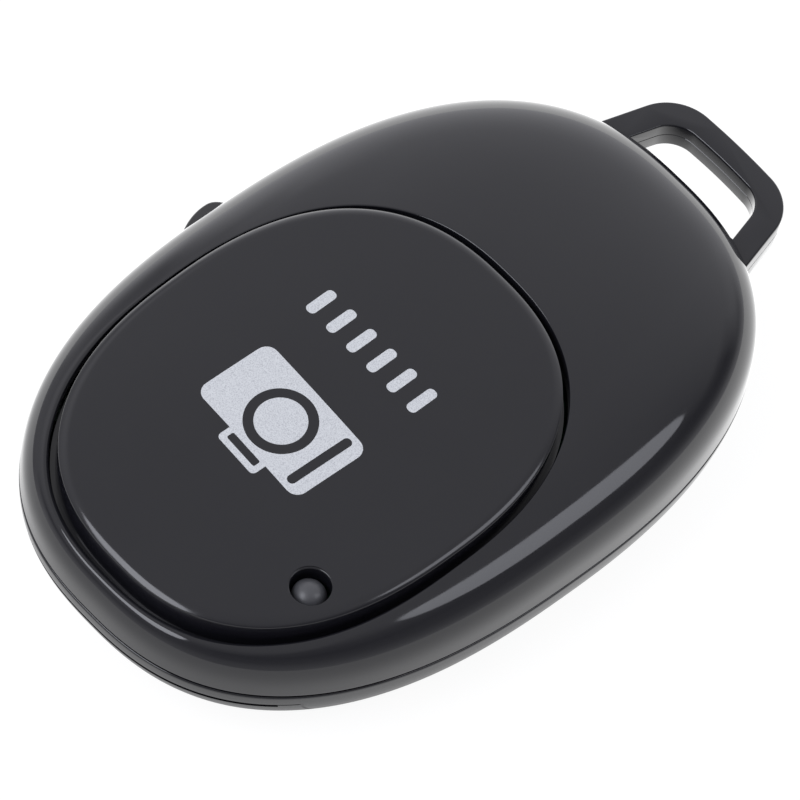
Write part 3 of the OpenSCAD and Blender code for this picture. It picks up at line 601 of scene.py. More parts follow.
def tabs(clearance, below, above):
    """The three tabs that keep the button in its well, or with clearances the rooms for them."""
    half = TAB_LENGTH / 2 + clearance
    reach_out = TAB_REACH + clearance
    back = SKIRT_WALL / 2
    pieces = []
    for side in (-1, 1):
        x0, x1 = sorted((side * (BUTTON_HALF_WIDTH - back), side * (BUTTON_HALF_WIDTH + reach_out)))
        z = tab_z(SIDE_TAB_Y)
        pieces.append(block("tab", (x0, SIDE_TAB_Y - half, z - below),
                            (x1, SIDE_TAB_Y + half, z + TAB_HEIGHT + above)))
    z = tab_z(FRONT_TAB_Y)
    pieces.append(block("tab", (-half, FRONT_TAB_Y - back, z - below),
                        (half, FRONT_TAB_Y + reach_out, z + TAB_HEIGHT + above)))
    return pieces


def tongue_ring(name, inset, inner_inset, low, high):
    ring = prism(name, body_outline(inset), low, high)
    return cut(ring, prism("inside", body_outline(inner_inset), low - 1, high + 1))


def switch_slot():
    half, rise = NUB_LENGTH / 2 + SLOT_CLEARANCE, NUB_HEIGHT / 2 + SLOT_CLEARANCE
    return block("slot", (-HALF_WIDTH - OVERRUN, NUB_Y - half, SWITCH_Z - rise),
                 (-HALF_WIDTH + SHELL_WALL * 2, NUB_Y + half + SWITCH_TRAVEL, SWITCH_Z + rise))


def plate_space():
    """Room behind the side wall for the knob's plate."""
    half = PLATE_ROOM_LENGTH / 2 + SLOT_CLEARANCE
    middle = NUB_Y + SWITCH_TRAVEL / 2
    x = PLATE_X - SLOT_CLEARANCE
    return block("plate_space", (x, middle - half, SEAM_Z - SHELL_WALL),
                 (x + SHELL_WALL * 2, middle + half, SWITCH_Z + PLATE_ROOM_RISE))


# Loop

def loop_outline(arm_inset, end_inset, corner):
    """The loop's outline set in from its arms and its end, with round corners."""
    end_y = LOOP_END_Y - end_inset - LOOP_BOW
    root_x = LOOP_ROOT_X - arm_inset
    end_x = root_x - LOOP_SLANT * (end_y - LOOP_ROOT_Y)
    centre_x = end_x + LOOP_SLANT * corner - corner * math.hypot(1, LOOP_SLANT)
    centre_y = end_y - corner
    right = [(root_x + LOOP_SLANT * LOOP_ROOT_DEPTH, LOOP_ROOT_Y - LOOP_ROOT_DEPTH)]
    for angle in np.linspace(math.atan(LOOP_SLANT), math.pi / 2, 17):
        right.append((centre_x + corner * math.cos(angle), centre_y + corner * math.sin(angle)))
    for share in np.linspace(1, 0, 9)[1:]:
        right.append((centre_x * share, end_y + LOOP_BOW * (1 - share * share)))
    left = [(-x, y) for x, y in reversed(right[:-1])]
    return np.array(right + left)


def make_loop():
    """The loop's bar, with eased edges and the fine line of the mould's parting round its sides."""
    across = LOOP_BAR * math.hypot(1, LOOP_SLANT)
    low = SEAM_Z + HALF_SEAM_GAP
    high = low + LOOP_THICKNESS
    middle = low + LOOP_THICKNESS * PARTING_SHARE
    profile = [(LOOP_EDGE * (1 - s), low + LOOP_EDGE * c) for s, c in quarter(5)]
    profile += [(0, middle - PARTING_HALF_WIDTH), (PARTING_DEPTH, middle), (0, middle + PARTING_HALF_WIDTH)]
    profile += [(LOOP_EDGE * (1 - s), high - LOOP_EDGE * c) for s, c in reversed(quarter(5))]
    bar = stacked("loop", [with_z(loop_outline(inset, inset, LOOP_CORNER - inset), z)
                           for inset, z in profile])
    profile = [(LOOP_EDGE, low - 1)] + profile + [(LOOP_EDGE, high + 1)]
    cut(bar, stacked("hole", [
        with_z(loop_outline(across - inset, LOOP_END_BAR - inset, LOOP_INNER_CORNER + inset), z)
        for inset, z in profile]))
    return cut(bar, block("root", (-HALF_WIDTH, 0, 0), (HALF_WIDTH, LOOP_ROOT_Y, SEAM_Z + OVERRUN)))


# Bottom shell and battery cover

def bowl_ring(inset, turn):
    share = FLAT_SHARE + (1 - FLAT_SHARE) * math.cos(turn)
    return with_z(body_outline(inset) * share, inset + (SEAM_Z - inset) * (1 - math.sin(turn)))


def bowl(name, inset, high=None):
    rings = [bowl_ring(inset, turn) for turn in np.linspace(math.pi / 2, 0, 25)]
    if high is not None:
        rings.append(with_z(body_outline(inset), high))
    return stacked(name, rings)


def outer_bowl(name):
    """The outside of the lower housing, with its edge at the seam eased."""
    rings = [bowl_ring(0, turn) for turn in np.linspace(math.pi / 2, 0.06, 30)]
    top = SEAM_Z - HALF_SEAM_GAP
    rings = [ring for ring in rings if ring[0, 2] < top - EDGE * 1.05]
    for s, c in reversed(quarter(5)):
        rings.append(with_z(body_outline(EDGE * (1 - s)), top - EDGE * c))
    return stacked(name, rings)


def cover_outline(grow):
    half, corner, end_y = COVER_HALF_WIDTH + grow, COVER_CORNER + grow, COVER_END_Y + grow
    far_y = -HALF_LENGTH - OVERRUN
    points = [(-half, far_y), (half, far_y)]
    for side, start in ((1, 0), (-1, math.pi / 2)):
        for angle in np.linspace(start, start + math.pi / 2, 13):
            points.append((side * (half - corner) + corner * math.cos(angle),
                           end_y - corner + corner * math.sin(angle)))
    return points


def make_bottom_shell():
    shell = outer_bowl("bottom_shell_skin")
    cut(shell, bowl("hollow", SHELL_WALL, SEAM_Z + OVERRUN))
    cut(shell, prism("recess", cover_outline(COVER_GAP), -OVERRUN, COVER_TOP_Z + COVER_GAP))
    ledge = prism("ledge", cover_outline(LEDGE_WIDTH), -OVERRUN, LEDGE_TOP_Z)
    cut(ledge, bowl("over_ledge", LEDGE_INSET, SEAM_Z + OVERRUN))
    join(ledge, rod("ring", CELL_RING_RADIUS, -1, CELL_RING_TOP_Z, 0, CELL_Y, 128))
    keep_common(ledge, bowl("under_ledge", LEDGE_WALL))
    cut(ledge, rod("cell_room", CELL_ROOM_RADIUS, -OVERRUN, SEAM_Z + OVERRUN, 0, CELL_Y, 128))
    cut(ledge, block("contact_room", *CONTACT_ROOM))
    cut(ledge, *lugs("lug_slot", COVER_GAP, -1, LUG_ROOM_Z))
    join(shell, ledge)
    join(shell, tongue_ring("tongue", TONGUE_INSET, TONGUE_INSET + TONGUE_WALL,
                            SEAM_Z - TONGUE_DEPTH, SEAM_Z + TONGUE_HEIGHT))
    for side in (-1, 1):
        x0, x1 = side * HOOK_X - HOOK_HALF_WIDTH, side * HOOK_X + HOOK_HALF_WIDTH
        join(shell, block("hook", (x0, HOOK_Y, HOOK_LOW_Z), (x1, HOOK_Y + HOOK_WALL, HOOK_TOP_Z)))
        join(shell, block("barb", (x0, HOOK_Y - BARB_REACH, HOOK_TOP_Z - BARB_HEIGHT),
                          (x1, HOOK_Y + HOOK_WALL / 2, HOOK_TOP_Z)))
    cut(shell, switch_slot(), plate_space())
    for side in (-1, 1):
        for (x, y), (radius, high) in ((CASE_SCREW, CASE_POST), (BOARD_SCREW, BOARD_POST)):
            post = rod("post", radius, 0, high, side * x, y)
            keep_common(post, bowl("inside", SHELL_WALL / 2))
            join(shell, post)
        x, y = side * CASE_SCREW[0], CASE_SCREW[1]
        cut(shell, rod("counterbore", COUNTERBORE_RADIUS, -1, COUNTERBORE_TOP_Z, x, y))
        cut(shell, rod("through", SCREW_HOLE_RADIUS, -1, SEAM_Z + OVERRUN, x, y, 48))
        x, y = side * BOARD_SCREW[0], BOARD_SCREW[1]
        cut(shell, rod("pilot", PILOT_RADIUS, PILOT_LOW_Z, SEAM_Z + OVERRUN, x, y, 32))
    return shell


def lugs(name, clearance, low, high):
    """The cover's four lugs, or with a clearance the slots for them."""
    half, wall = LUG_HALF_WIDTH + clearance, LUG_HALF_WALL + clearance
    return [block(name, (side * x - half, y - wall, low), (side * x + half, y + wall, high))
            for side in (-1, 1) for x, y in LUG_PLACES]


def make_battery_cover():
    cover = outer_bowl("battery_cover_skin")
    keep_common(cover, prism("cover_plan", cover_outline(0), -OVERRUN, COVER_TOP_Z))
    cut(cover, bowl("hollow", COVER_WALL, SEAM_Z + OVERRUN))
    for lug in lugs("lug", 0, 0, LUG_TOP_Z):
        join(cover, keep_common(lug, bowl("inside", COVER_WALL / 2)))
    cut(cover, rod("cell_room", CELL_ROOM_RADIUS, COVER_WALL, SEAM_Z + OVERRUN, 0, CELL_Y, 128))
    low = COVER_TOP_Z + COVER_GAP - PRY_GAP
    cut(cover, block("pry_slot", (-PRY_HALF_WIDTH, -HALF_LENGTH - OVERRUN, low),
                     (PRY_HALF_WIDTH, 0, SEAM_Z + OVERRUN)))
    return cover


# Button

def dome_z(points):
    """Height of the button's top at any point inside its outline."""
    offset = points - [0, BUTTON_Y]
    y = offset[:, 1] / (BUTTON_HALF_LENGTH - BUTTON_BEVEL)
    x = offset[:, 0] / (BUTTON_HALF_WIDTH - BUTTON_BEVEL)
    egg = 1 + BUTTON_EGG * np.clip(y, -1, 1)
    share = (np.abs(x / egg) ** BUTTON_POWER + np.abs(y) ** BUTTON_POWER) ** (1 / BUTTON_POWER)
    return button_plane_z(points) + BUTTON_DOME * (1 - share ** 2)


def button_edge():
    """The button's edge from its side inwards: a small corner and then a wide round, as inset and drop."""
    turn = math.radians(BUTTON_TURN)
    corner = BUTTON_CORNER * (1 - math.sin(turn))
    drop = BUTTON_ROUND * (1 - math.cos(turn))
    profile = []
    for a in np.linspace(math.pi / 2, turn, 6):
        profile.append((BUTTON_CORNER * (1 - math.sin(a)),
                        drop + BUTTON_CORNER * (math.cos(turn) - math.cos(a))))
    for a in np.linspace(turn, 0, 15)[1:]:
        profile.append((corner + BUTTON_ROUND * (math.sin(turn) - math.sin(a)),
                        BUTTON_ROUND * (1 - math.cos(a))))
    return profile


def button_solid(name, lift=0.0):
    """The outside of the button, or with a lift the same form raised for the printed layer."""
    foot, skirt = button_outline(FLANGE_REACH), button_outline(0)
    rings = [with_z(foot, skirt_z(foot)), with_z(foot, skirt_z(foot) + TAB_HEIGHT),
             with_z(skirt, skirt_z(skirt) + TAB_HEIGHT)]
    for inset, drop in button_edge():
        points = button_outline(-inset)
        rings.append(with_z(points, dome_z(points) - drop + lift))
    middle = np.array([0, BUTTON_Y])
    edge = button_outline(-button_edge()[-1][0])
    for share in np.linspace(1, 0, 40)[1:-1]:
        points = middle + (edge - middle) * share
        rings.append(with_z(points, dome_z(points) + lift))
    return stacked(name, rings, (0, BUTTON_Y, BUTTON_EDGE_Z + BUTTON_DOME + lift))


def make_button():
    button = button_solid("button_skin")
    middle = np.array([0, BUTTON_Y])
    inner = button_outline(-SKIRT_WALL)
    rings = [with_z(inner, skirt_z(inner) - OVERRUN)]
    for share in np.linspace(1, 0, 16)[:-1]:
        points = middle + (inner - middle) * share
        rings.append(with_z(points, button_plane_z(points) - BUTTON_WALL + HOLLOW_DOME * (1 - share ** 2)))
    cut(button, stacked("hollow", rings, (0, BUTTON_Y, BUTTON_EDGE_Z + HOLLOW_DOME - BUTTON_WALL)))
    join(button, rod("post", POST_RADIUS, POST_Z, BUTTON_EDGE_Z, 0, BUTTON_Y))
    for turn in range(30, 390, 60):
        rib = block("rib", (RIB_START, -RIB_HALF_WALL, POST_Z),
                    (RIB_END, RIB_HALF_WALL, BUTTON_EDGE_Z - BUTTON_WALL / 2))
        rib.data.transform(Matrix.Translation((0, BUTTON_Y * MM, 0))
                           @ Matrix.Rotation(math.radians(turn), 4, "Z"))
        keep_common(rib, button_solid("inside", -RIB_DEPTH))
        join(button, rib)
    join(button, *tabs(0, 0, 0))
    cut(button, led_cutter())
    return button


def led_cutter():
    """A hole for the light guide whose upper lip is rounded."""
    surface = float(dome_z(np.array([LED_PLACE]))[0])
    profile = [(LED_RADIUS, -OVERRUN * 1.5)]
    for s, c in quarter(6):
        profile.append((LED_RADIUS + LED_LIP * c, LED_LIP * (s - 1)))
    profile.append((LED_RADIUS + LED_LIP, OVERRUN))
    return turned("led_hole", profile, (LED_PLACE[0], LED_PLACE[1], surface), 96, math.atan(BUTTON_TILT))


def make_light_guide():
    """A smoked insert with a domed end, a foot and two pegs."""
    x, y = LED_PLACE
    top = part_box("led_light_guide")[1][2] / MM + GUIDE_DOME_REACH
    foot_top = GUIDE_FOOT_Z + GUIDE_FOOT_HEIGHT
    profile = [(GUIDE_FOOT_RADIUS, GUIDE_FOOT_Z), (GUIDE_FOOT_RADIUS, foot_top), (GUIDE_RADIUS, foot_top)]
    for angle in np.linspace(0, math.pi / 2, 14)[:-1]:
        profile.append((GUIDE_RADIUS * math.cos(angle), top - GUIDE_DOME_HEIGHT * (1 - math.sin(angle))))
    profile.append((0.01, top))
    guide = turned("light_guide_lens", profile, (x, y, 0))
    for side in (-1, 1):
        join(guide, rod("peg", PEG_RADIUS, PEG_LOW_Z, PEG_HIGH_Z, x, y + side * PEG_OFFSET, 24))
    return guide


# Print on the button

def rounded_box(x0, y0, x1, y1, radius):
    points = []
    corners = ((x1 - radius, y1 - radius, 0), (x0 + radius, y1 - radius, 90),
               (x0 + radius, y0 + radius, 180), (x1 - radius, y0 + radius, 270))
    for x, y, start in corners:
        points += [(x + radius * math.cos(angle), y + radius * math.sin(angle))
                   for angle in np.radians(np.linspace(start, start + 90, 7))]
    return points


def disc(x, y, radius):
    angles = np.linspace(0, 2 * math.pi, 73)[:-1]
    return [(x + radius * math.cos(a), y + radius * math.sin(a)) for a in angles]


def ink_layer():
    """A thin shell that follows the top of the button."""
    return cut(button_solid("layer", INK_THICKNESS), button_solid("under", -INK_SINK))


def printed(name, shapes, holes=()):
    """Ink in the form of outlines, less some holes, laid on the button's dome."""
    mark, *others = [prism(name, outline, PRINT_LOW, PRINT_HIGH) for outline in shapes]
    join(mark, *others)
    cut(mark, *[prism("hole", outline, PRINT_LOW - 1, PRINT_HIGH + 1) for outline in holes])
    return keep_common(mark, ink_layer())


def turned_outline(outline, degrees, middle):
    angle = math.radians(degrees)
    offset = np.asarray(outline) - middle
    turn = np.array([[math.cos(angle), math.sin(angle)], [-math.sin(angle), math.cos(angle)]])
    return offset @ turn + middle


def make_sign():
    """A plain camera sign: a body with a round lens, a bar for the flash and a raised finder."""
    body = rounded_box(-5.1, -11.4, 3.93, -6.08, 0.75)
    finder = rounded_box(-2.0, -12.35, 1.25, -11.2, 0.3)
    flash = rounded_box(2.5, -11.0, 3.1, -6.45, 0.28)
    finder_hole = rounded_box(-1.6, -11.95, 0.85, -11.45, 0.12)
    body, finder, flash, finder_hole = (turned_outline(shape, SIGN_TURN, LENS_PLACE)
                                        for shape in (body, finder, flash, finder_hole))
    sign = printed("print_sign", [body, finder], [disc(*LENS_PLACE, LENS_HOLE_RADIUS), flash, finder_hole])
    return join(sign, printed("lens", [disc(*LENS_PLACE, LENS_RADIUS)]))


def bar_row(name):
    """A Geometry Nodes tree for a row of upright bars with round corners, and its inputs by name."""
    tree = bpy.data.node_groups.new(name, "GeometryNodeTree")
    tree.interface.new_socket("Geometry", in_out="OUTPUT", socket_type="NodeSocketGeometry")
    sockets = {}
    for label, kind in (("Count", "Int"), ("First", "Vector"), ("Step", "Vector"), ("Width", "Float"),
                        ("Length", "Float"), ("Corner", "Float"), ("Height", "Vector"),
                        ("Material", "Material")):
        socket = tree.interface.new_socket(label, in_out="INPUT", socket_type="NodeSocket" + kind)
        sockets[label] = socket.identifier
    given, line, shape, fillet, rise, bar, place, realize, paint, result = (tree.nodes.new(kind) for kind in (
        "NodeGroupInput", "GeometryNodeMeshLine", "GeometryNodeCurvePrimitiveQuadrilateral",
        "GeometryNodeFilletCurve", "GeometryNodeCurvePrimitiveLine", "GeometryNodeCurveToMesh",
        "GeometryNodeInstanceOnPoints", "GeometryNodeRealizeInstances", "GeometryNodeSetMaterial",
        "NodeGroupOutput"))
    line.mode = "OFFSET"
    fillet.mode = "POLY"
    fillet.inputs["Count"].default_value = 6
    bar.inputs["Fill Caps"].default_value = True
    for source, output, target, name in (
            (given, "Count", line, "Count"), (given, "First", line, "Start Location"),
            (given, "Step", line, "Offset"), (given, "Width", shape, "Width"),
            (given, "Length", shape, "Height"), (shape, "Curve", fillet, "Curve"),
            (given, "Corner", fillet, "Radius"), (given, "Height", rise, "End"),
            (rise, "Curve", bar, "Curve"), (fillet, "Curve", bar, "Profile Curve"),
            (line, "Mesh", place, "Points"), (bar, "Mesh", place, "Instance"),
            (place, "Instances", realize, "Geometry"), (realize, "Geometry", paint, "Geometry"),
            (given, "Material", paint, "Material"), (paint, "Geometry", result, "Geometry")):
        tree.links.new(source.outputs[output], target.inputs[name])
    return tree, sockets


def make_marks(material):
    """A row of plain upright bars, laid on the button's dome."""
    marks = make_mesh("print_marks", [(0, 0, 0)], [])
    tree, sockets = bar_row("bar_row")
    modifier = marks.modifiers.new("bars", "NODES")
    modifier.node_group = tree
    step = (BAR_LAST_X - BAR_FIRST_X) / (BAR_COUNT - 1)
    sizes = {"Count": BAR_COUNT, "First": (BAR_FIRST_X * MM, BAR_Y * MM, PRINT_LOW * MM),
             "Step": (step * MM, 0, 0), "Width": BAR_WIDTH * MM, "Length": BAR_LENGTH * MM,
             "Corner": BAR_CORNER * MM, "Height": (0, 0, (PRINT_HIGH - PRINT_LOW) * MM), "Material": material}
    for label, value in sizes.items():
        modifier[sockets[label]] = value
    bake_modifiers(marks)
    return keep_common(marks, ink_layer())


# Knob

def nub_outline(inset):
    """The nub seen from above, which falls off more steeply towards the front."""
    points = []
    for share in np.linspace(1, 0, 41):
        if share < NUB_PEAK:
            height = 1 - (1 - share / NUB_PEAK) ** 2
        else:
            height = 1 - ((share - NUB_PEAK) / (1 - NUB_PEAK)) ** NUB_END_POWER
        points.append((-HALF_WIDTH - NUB_REACH * height + inset,
                       NUB_Y + (share - 0.5) * (NUB_LENGTH - 2 * inset)))
    back = PLATE_X + PLATE_OVERLAP
    points += [(back, points[-1][1]), (back, points[0][1])]
    return np.array(points)


def make_knob():
    """The nub, the plate behind the side wall and the fork that takes the lever of the switch."""
    low, high = (np.array(c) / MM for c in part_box("power_switch_knob"))
    rings = [(EDGE * (1 - s), SWITCH_Z - NUB_HEIGHT / 2 + EDGE * c) for s, c in quarter(4)]
    rings += [(EDGE * (1 - s), SWITCH_Z + NUB_HEIGHT / 2 - EDGE * c) for s, c in reversed(quarter(4))]
    knob = stacked("knob_skin", [with_z(nub_outline(inset), z) for inset, z in rings])
    join(knob, block("plate", (PLATE_X, low[1], low[2]), (PLATE_X + PLATE_WALL, high[1], high[2])))
    for side in (-1, 1):
        middle = NUB_Y + side * FORK_SPREAD
        join(knob, block("fork",
                         (PLATE_X + PLATE_OVERLAP, middle - FORK_HALF_WALL, SWITCH_Z - FORK_HALF_HEIGHT),
                         (high[0], middle + FORK_HALF_WALL, SWITCH_Z + FORK_HALF_HEIGHT)))
    return knob


# Materials

def new_material(name):
    material = bpy.data.materials.new(name)
    material.use_nodes = True
    nodes = material.node_tree.nodes
    return material, nodes, material.node_tree.links, nodes["Principled BSDF"]


def noise(nodes, links, scale, detail):
    place = nodes.new("ShaderNodeTexCoord")
    texture = nodes.new("ShaderNodeTexNoise")
    texture.inputs["Scale"].default_value = scale
    texture.inputs["Detail"].default_value = detail
    links.new(place.outputs["Object"], texture.inputs["Vector"])
    return texture.outputs["Fac"]


def spread(nodes, links, value, low, high, from_low=0.3, from_high=0.7):
    ramp = nodes.new("ShaderNodeMapRange")
    ramp.inputs["From Min"].default_value = from_low
    ramp.inputs["From Max"].default_value = from_high
    ramp.inputs["To Min"].default_value = low
    ramp.inputs["To Max"].default_value = high
    links.new(value, ramp.inputs["Value"])
    return ramp.outputs["Result"]


def blend_colours(nodes, links, value, first, second):
    mix = nodes.new("ShaderNodeMix")
    mix.data_type = "RGBA"
    links.new(value, mix.inputs["Factor"])
    mix.inputs["A"].default_value = (*first, 1)
    mix.inputs["B"].default_value = (*second, 1)
    return mix.outputs["Result"]


def bump(nodes, links, shader, height, distance):
    node = nodes.new("ShaderNodeBump")
    node.inputs["Strength"].default_value = 1.0
    node.inputs["Distance"].default_value = distance
    links.new(height, node.inputs["Height"])
    links.new(node.outputs["Normal"], shader.inputs["Normal"])


def plastic(name, colour, other, roughness, grain_scale, grain_depth, ior):
    """Moulded plastic: a faint mottling of colour and gloss, and a fine waviness."""
    material, nodes, links, shader = new_material(name)
    cloud = noise(nodes, links, MOTTLE_SCALE, 3)
    links.new(blend_colours(nodes, links, cloud, colour, other), shader.inputs["Base Color"])
    gloss = noise(nodes, links, GLOSS_SCALE, 4)
    links.new(spread(nodes, links, gloss, *roughness), shader.inputs["Roughness"])
    shader.inputs["IOR"].default_value = ior
    bump(nodes, links, shader, noise(nodes, links, grain_scale, 2), grain_depth)
    return material


def metal(name, colour, other, roughness, scale):
    material, nodes, links, shader = new_material(name)
    cloud = noise(nodes, links, scale, 3)
    links.new(blend_colours(nodes, links, cloud, colour, other), shader.inputs["Base Color"])
    gloss = noise(nodes, links, scale * 3, 3)
    links.new(spread(nodes, links, gloss, *roughness), shader.inputs["Roughness"])
    shader.inputs["Metallic"].default_value = 1.0
    bump(nodes, links, shader, noise(nodes, links, scale * 4, 2), METAL_GRAIN)
    return material


def ink(name, colour, speck):
    """Printed ink with a faint speckle where it hasn't covered."""
    material, nodes, links, shader = new_material(name)
    specks = spread(nodes, links, noise(nodes, links, 14000, 2), 0, 1, 0.42, 0.8)
    links.new(blend_colours(nodes, links, specks, colour, speck), shader.inputs["Base Color"])
    links.new(spread(nodes, links, noise(nodes, links, 4000, 2), 0.45, 0.6), shader.inputs["Roughness"])
    return material


# Studio

def calculate(nodes, links, operation, *values):
    """The output of a Math node, which is given outputs of other nodes or numbers."""
    node = nodes.new("ShaderNodeMath")
    node.operation = operation
    for socket, value in zip(node.inputs, values):
        if isinstance(value, float):
            socket.default_value = value
        else:
            links.new(value, socket)
    return node.outputs[0]


def diffuse(nodes, level):
    shader = nodes.new("ShaderNodeBsdfDiffuse")
    shader.inputs["Color"].default_value = (level, level, level, 1)
    return shader.outputs[0]


def mix_shaders(nodes, links, share, first, second):
    mix = nodes.new("ShaderNodeMixShader")
    for socket, output in zip(mix.inputs, (share, first, second)):
        links.new(output, socket)
    return mix.outputs[0]


def background_rays(nodes, links):
    """1 for rays that show the background: the camera's, and those mirrored in or sent through the object."""
    path = nodes.new("ShaderNodeLightPath")
    total = path.outputs["Is Camera Ray"]
    for name in ("Is Glossy Ray", "Is Transmission Ray"):
        total = calculate(nodes, links, "MAXIMUM", total, path.outputs[name])
    return total


def make_floor():
    """A white table, clear from below so that the back can be looked at. What is seen of it from above is
    plain white with a faint shadow. What the object mirrors of it is a painted glow, brighter towards the
    bright side and darkened close to the object by a painted contact shade."""
    size, z = FLOOR_HALF_SIZE, FLOOR_Z
    floor = make_mesh("floor", [(-size, -size, z), (size, -size, z), (size, size, z), (-size, size, z)],
                      [(0, 1, 2, 3)])
    material = bpy.data.materials.new("table_white")
    material.use_nodes = True
    nodes, links = material.node_tree.nodes, material.node_tree.links
    nodes.clear()

    place = nodes.new("ShaderNodeTexCoord")
    outward = nodes.new("ShaderNodeVectorMath")
    outward.operation = "NORMALIZE"
    links.new(place.outputs["Object"], outward.inputs[0])
    side = nodes.new("ShaderNodeVectorMath")
    side.operation = "DOT_PRODUCT"
    angle = math.radians(BRIGHT_SIDE)
    side.inputs[1].default_value = (math.sin(angle), -math.cos(angle), 0)
    links.new(outward.outputs[0], side.inputs[0])
    # Painted glow: what the object mirrors of the table is brighter towards the bright side
    mirrored = spread(nodes, links, side.outputs["Value"], *FLOOR_LEVELS, -1.0, 1.0)
    mirrored.node.interpolation_type = "SMOOTHSTEP"
    # Painted contact shade: ambient occlusion darkens the mirrored glow close to the object
    painted_contact_shade = nodes.new("ShaderNodeAmbientOcclusion")
    painted_contact_shade.samples = 8
    painted_contact_shade.inputs["Distance"].default_value = CONTACT_SHADE * MM
    direct = nodes.new("ShaderNodeLightPath")
    level = nodes.new("ShaderNodeMix")
    links.new(direct.outputs["Is Camera Ray"], level.inputs["Factor"])
    links.new(calculate(nodes, links, "MULTIPLY", mirrored, painted_contact_shade.outputs["AO"]), level.inputs["A"])
    level.inputs["B"].default_value = FLOOR_GLOW
    glow = nodes.new("ShaderNodeEmission")
    links.new(level.outputs["Result"], glow.inputs["Strength"])
    seen = nodes.new("ShaderNodeAddShader")
    links.new(diffuse(nodes, FLOOR_SHADED), seen.inputs[0])
    links.new(glow.outputs[0], seen.inputs[1])
    above = mix_shaders(nodes, links, background_rays(nodes, links), diffuse(nodes, FLOOR_WHITE),
                        seen.outputs[0])
    facing = nodes.new("ShaderNodeNewGeometry")
    clear = nodes.new("ShaderNodeBsdfTransparent")
    output = nodes.new("ShaderNodeOutputMaterial")
    links.new(mix_shaders(nodes, links, facing.outputs["Backfacing"], above, clear.outputs[0]),
              output.inputs["Surface"])
    floor.data.materials.append(material)
    # The cover that comes off lies on the table
    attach(floor, "cover")


def sky_ramp(nodes, links, height, levels):
    """One sector's grey levels over the sine of the elevation."""
    ramp = nodes.new("ShaderNodeValToRGB")
    links.new(height, ramp.inputs["Fac"])
    elements = ramp.color_ramp.elements
    while len(elements) < len(levels):
        elements.new(0.5)
    for element, elevation, level in zip(elements, SKY_ELEVATIONS, levels):
        element.position = math.sin(math.radians(elevation))
        element.color = (*(level * part / SKY_STRENGTH for part in SKY_TINT), 1)
    return ramp.outputs["Color"]


def make_world():
    """A studio: bright behind the object, dim behind the camera, with a soft ceiling."""
    world = bpy.data.worlds.new("studio")
    bpy.context.scene.world = world
    world.use_nodes = True
    nodes, links = world.node_tree.nodes, world.node_tree.links
    place = nodes.new("ShaderNodeTexCoord")
    parts = nodes.new("ShaderNodeSeparateXYZ")
    links.new(place.outputs["Generated"], parts.inputs[0])
    # Measured from +Y, so that the seam in the angle lies at azimuth 0
    flipped = calculate(nodes, links, "MULTIPLY", parts.outputs["X"], -1.0)
    turn = calculate(nodes, links, "ARCTAN2", flipped, parts.outputs["Y"])
    sectors = sorted(SKY_LEVELS.items())
    (first, first_levels), (last, last_levels) = sectors[0], sectors[-1]
    sectors.append((first + 360, first_levels))
    colour = sky_ramp(nodes, links, parts.outputs["Z"], last_levels)
    before = last - 360
    for azimuth, levels in sectors:
        share = spread(nodes, links, turn, 0, 1, math.radians(before - 180), math.radians(azimuth - 180))
        mix = nodes.new("ShaderNodeMix")
        mix.data_type = "RGBA"
        links.new(share, mix.inputs["Factor"])
        links.new(colour, mix.inputs["A"])
        links.new(sky_ramp(nodes, links, parts.outputs["Z"], levels), mix.inputs["B"])
        colour = mix.outputs["Result"]
        before = azimuth
    light = nodes["Background"]
    links.new(colour, light.inputs["Color"])
    light.inputs["Strength"].default_value = SKY_STRENGTH


def make_lamps():
    """Two softboxes, to the right and to the left of the camera."""
    for name, azimuth, elevation, roll, width, height, radiance in SOFTBOXES:
        turn, lift, lean = (math.radians(v) for v in (azimuth, elevation, roll))
        out = Vector((math.sin(turn) * math.cos(lift), -math.cos(turn) * math.cos(lift), math.sin(lift)))
        level = Vector((0, 0, 1)).cross(out).normalized()
        rise = out.cross(level)
        data = bpy.data.lights.new(name, "AREA")
        data.shape = "ELLIPSE"
        data.size = width
        data.size_y = height
        data.color = SOFTBOX_COLOUR
        data.energy = radiance * math.pi * (math.pi / 4 * width * height)
        lamp = bpy.data.objects.new(name, data)
        bpy.context.scene.collection.objects.link(lamp)
        across = level * math.cos(lean) + rise * math.sin(lean)
        along = rise * math.cos(lean) - level * math.sin(lean)
        matrix = Matrix((across, along, out)).transposed().to_4x4()
        matrix.translation = out * LAMP_DISTANCE
        lamp.matrix_world = matrix


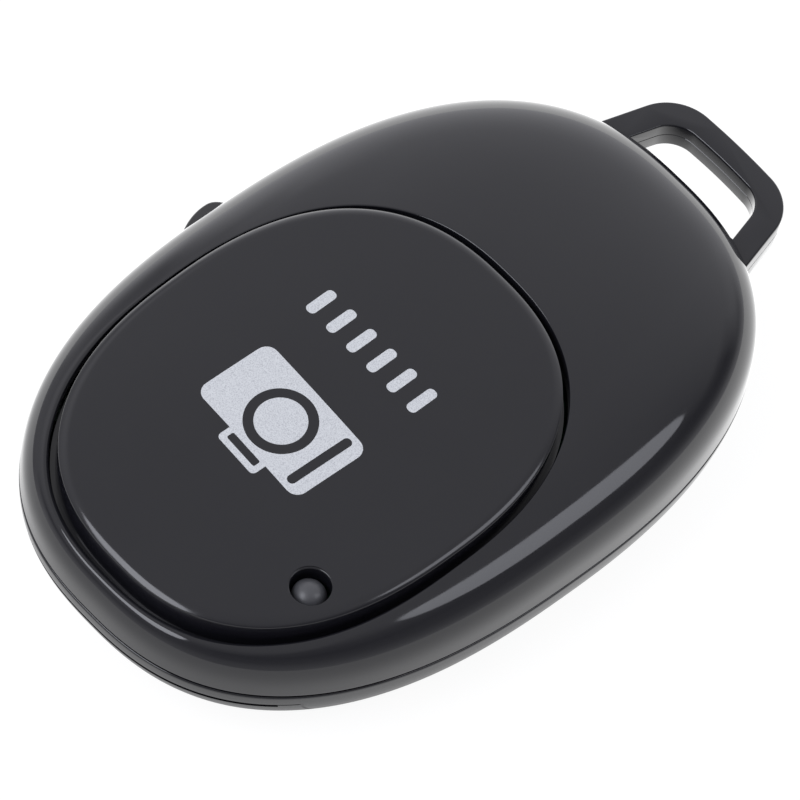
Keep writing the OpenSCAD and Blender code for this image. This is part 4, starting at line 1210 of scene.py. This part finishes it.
def make_camera():
    """The photograph's view: 37.5 degrees round, 55.2 up, and turned a little about its own axis."""
    azimuth, elevation, roll = (math.radians(v) for v in CAMERA_TURNS)
    back = Vector((math.sin(azimuth) * math.cos(elevation), -math.cos(azimuth) * math.cos(elevation),
                   math.sin(elevation)))
    right = Vector((math.cos(azimuth), math.sin(azimuth), 0))
    up = back.cross(right)
    turned_right = right * math.cos(roll) + up * math.sin(roll)
    turned_up = up * math.cos(roll) - right * math.sin(roll)
    data = bpy.data.cameras.new("camera")
    data.lens = CAMERA_LENS
    data.sensor_width = CAMERA_SENSOR
    data.clip_start = 0.01
    camera = bpy.data.objects.new("camera", data)
    bpy.context.scene.collection.objects.link(camera)
    matrix = Matrix((turned_right, turned_up, back)).transposed().to_4x4()
    matrix.translation = (Vector(CAMERA_TARGET) + back * CAMERA_DISTANCE) * MM
    camera.matrix_world = matrix
    bpy.context.scene.camera = camera


def make_object():
    looks = {name: plastic(name, *values) for name, values in PLASTICS.items()}
    looks.update({name: metal(name, *values) for name, values in METALS.items()})
    white_ink = ink("print_white", INK_WHITE, INK_SPECK)
    black = looks["housing_black"]

    finish_piece(make_top_shell(), "housing", black, "housing_plastic", "top_shell")
    finish_piece(make_bottom_shell(), "housing", black, "housing_plastic", "bottom_shell")
    finish_piece(make_battery_cover(), "cover", black, "housing_plastic", "battery_cover")
    finish_piece(make_button(), "button", looks["button_black"], "button_plastic", "shutter_button")
    finish_piece(make_light_guide(), "housing", looks["smoked_lens"], "light_guide_plastic",
                 "led_light_guide")
    finish_piece(make_knob(), "power_switch", looks["knob_black"], "knob_plastic", "power_switch_knob")
    finish_piece(make_sign(), "button", white_ink, "button_plastic")
    finish_piece(make_marks(white_ink), "button", white_ink, "button_plastic")

    for name, nodes in NODE_MATERIALS.items():
        for node in nodes:
            for material_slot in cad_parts[node].material_slots:
                material_slot.material = looks[name]


bpy.context.scene.view_settings.view_transform = "Standard"
make_world()
make_lamps()
make_camera()
make_floor()
make_object()
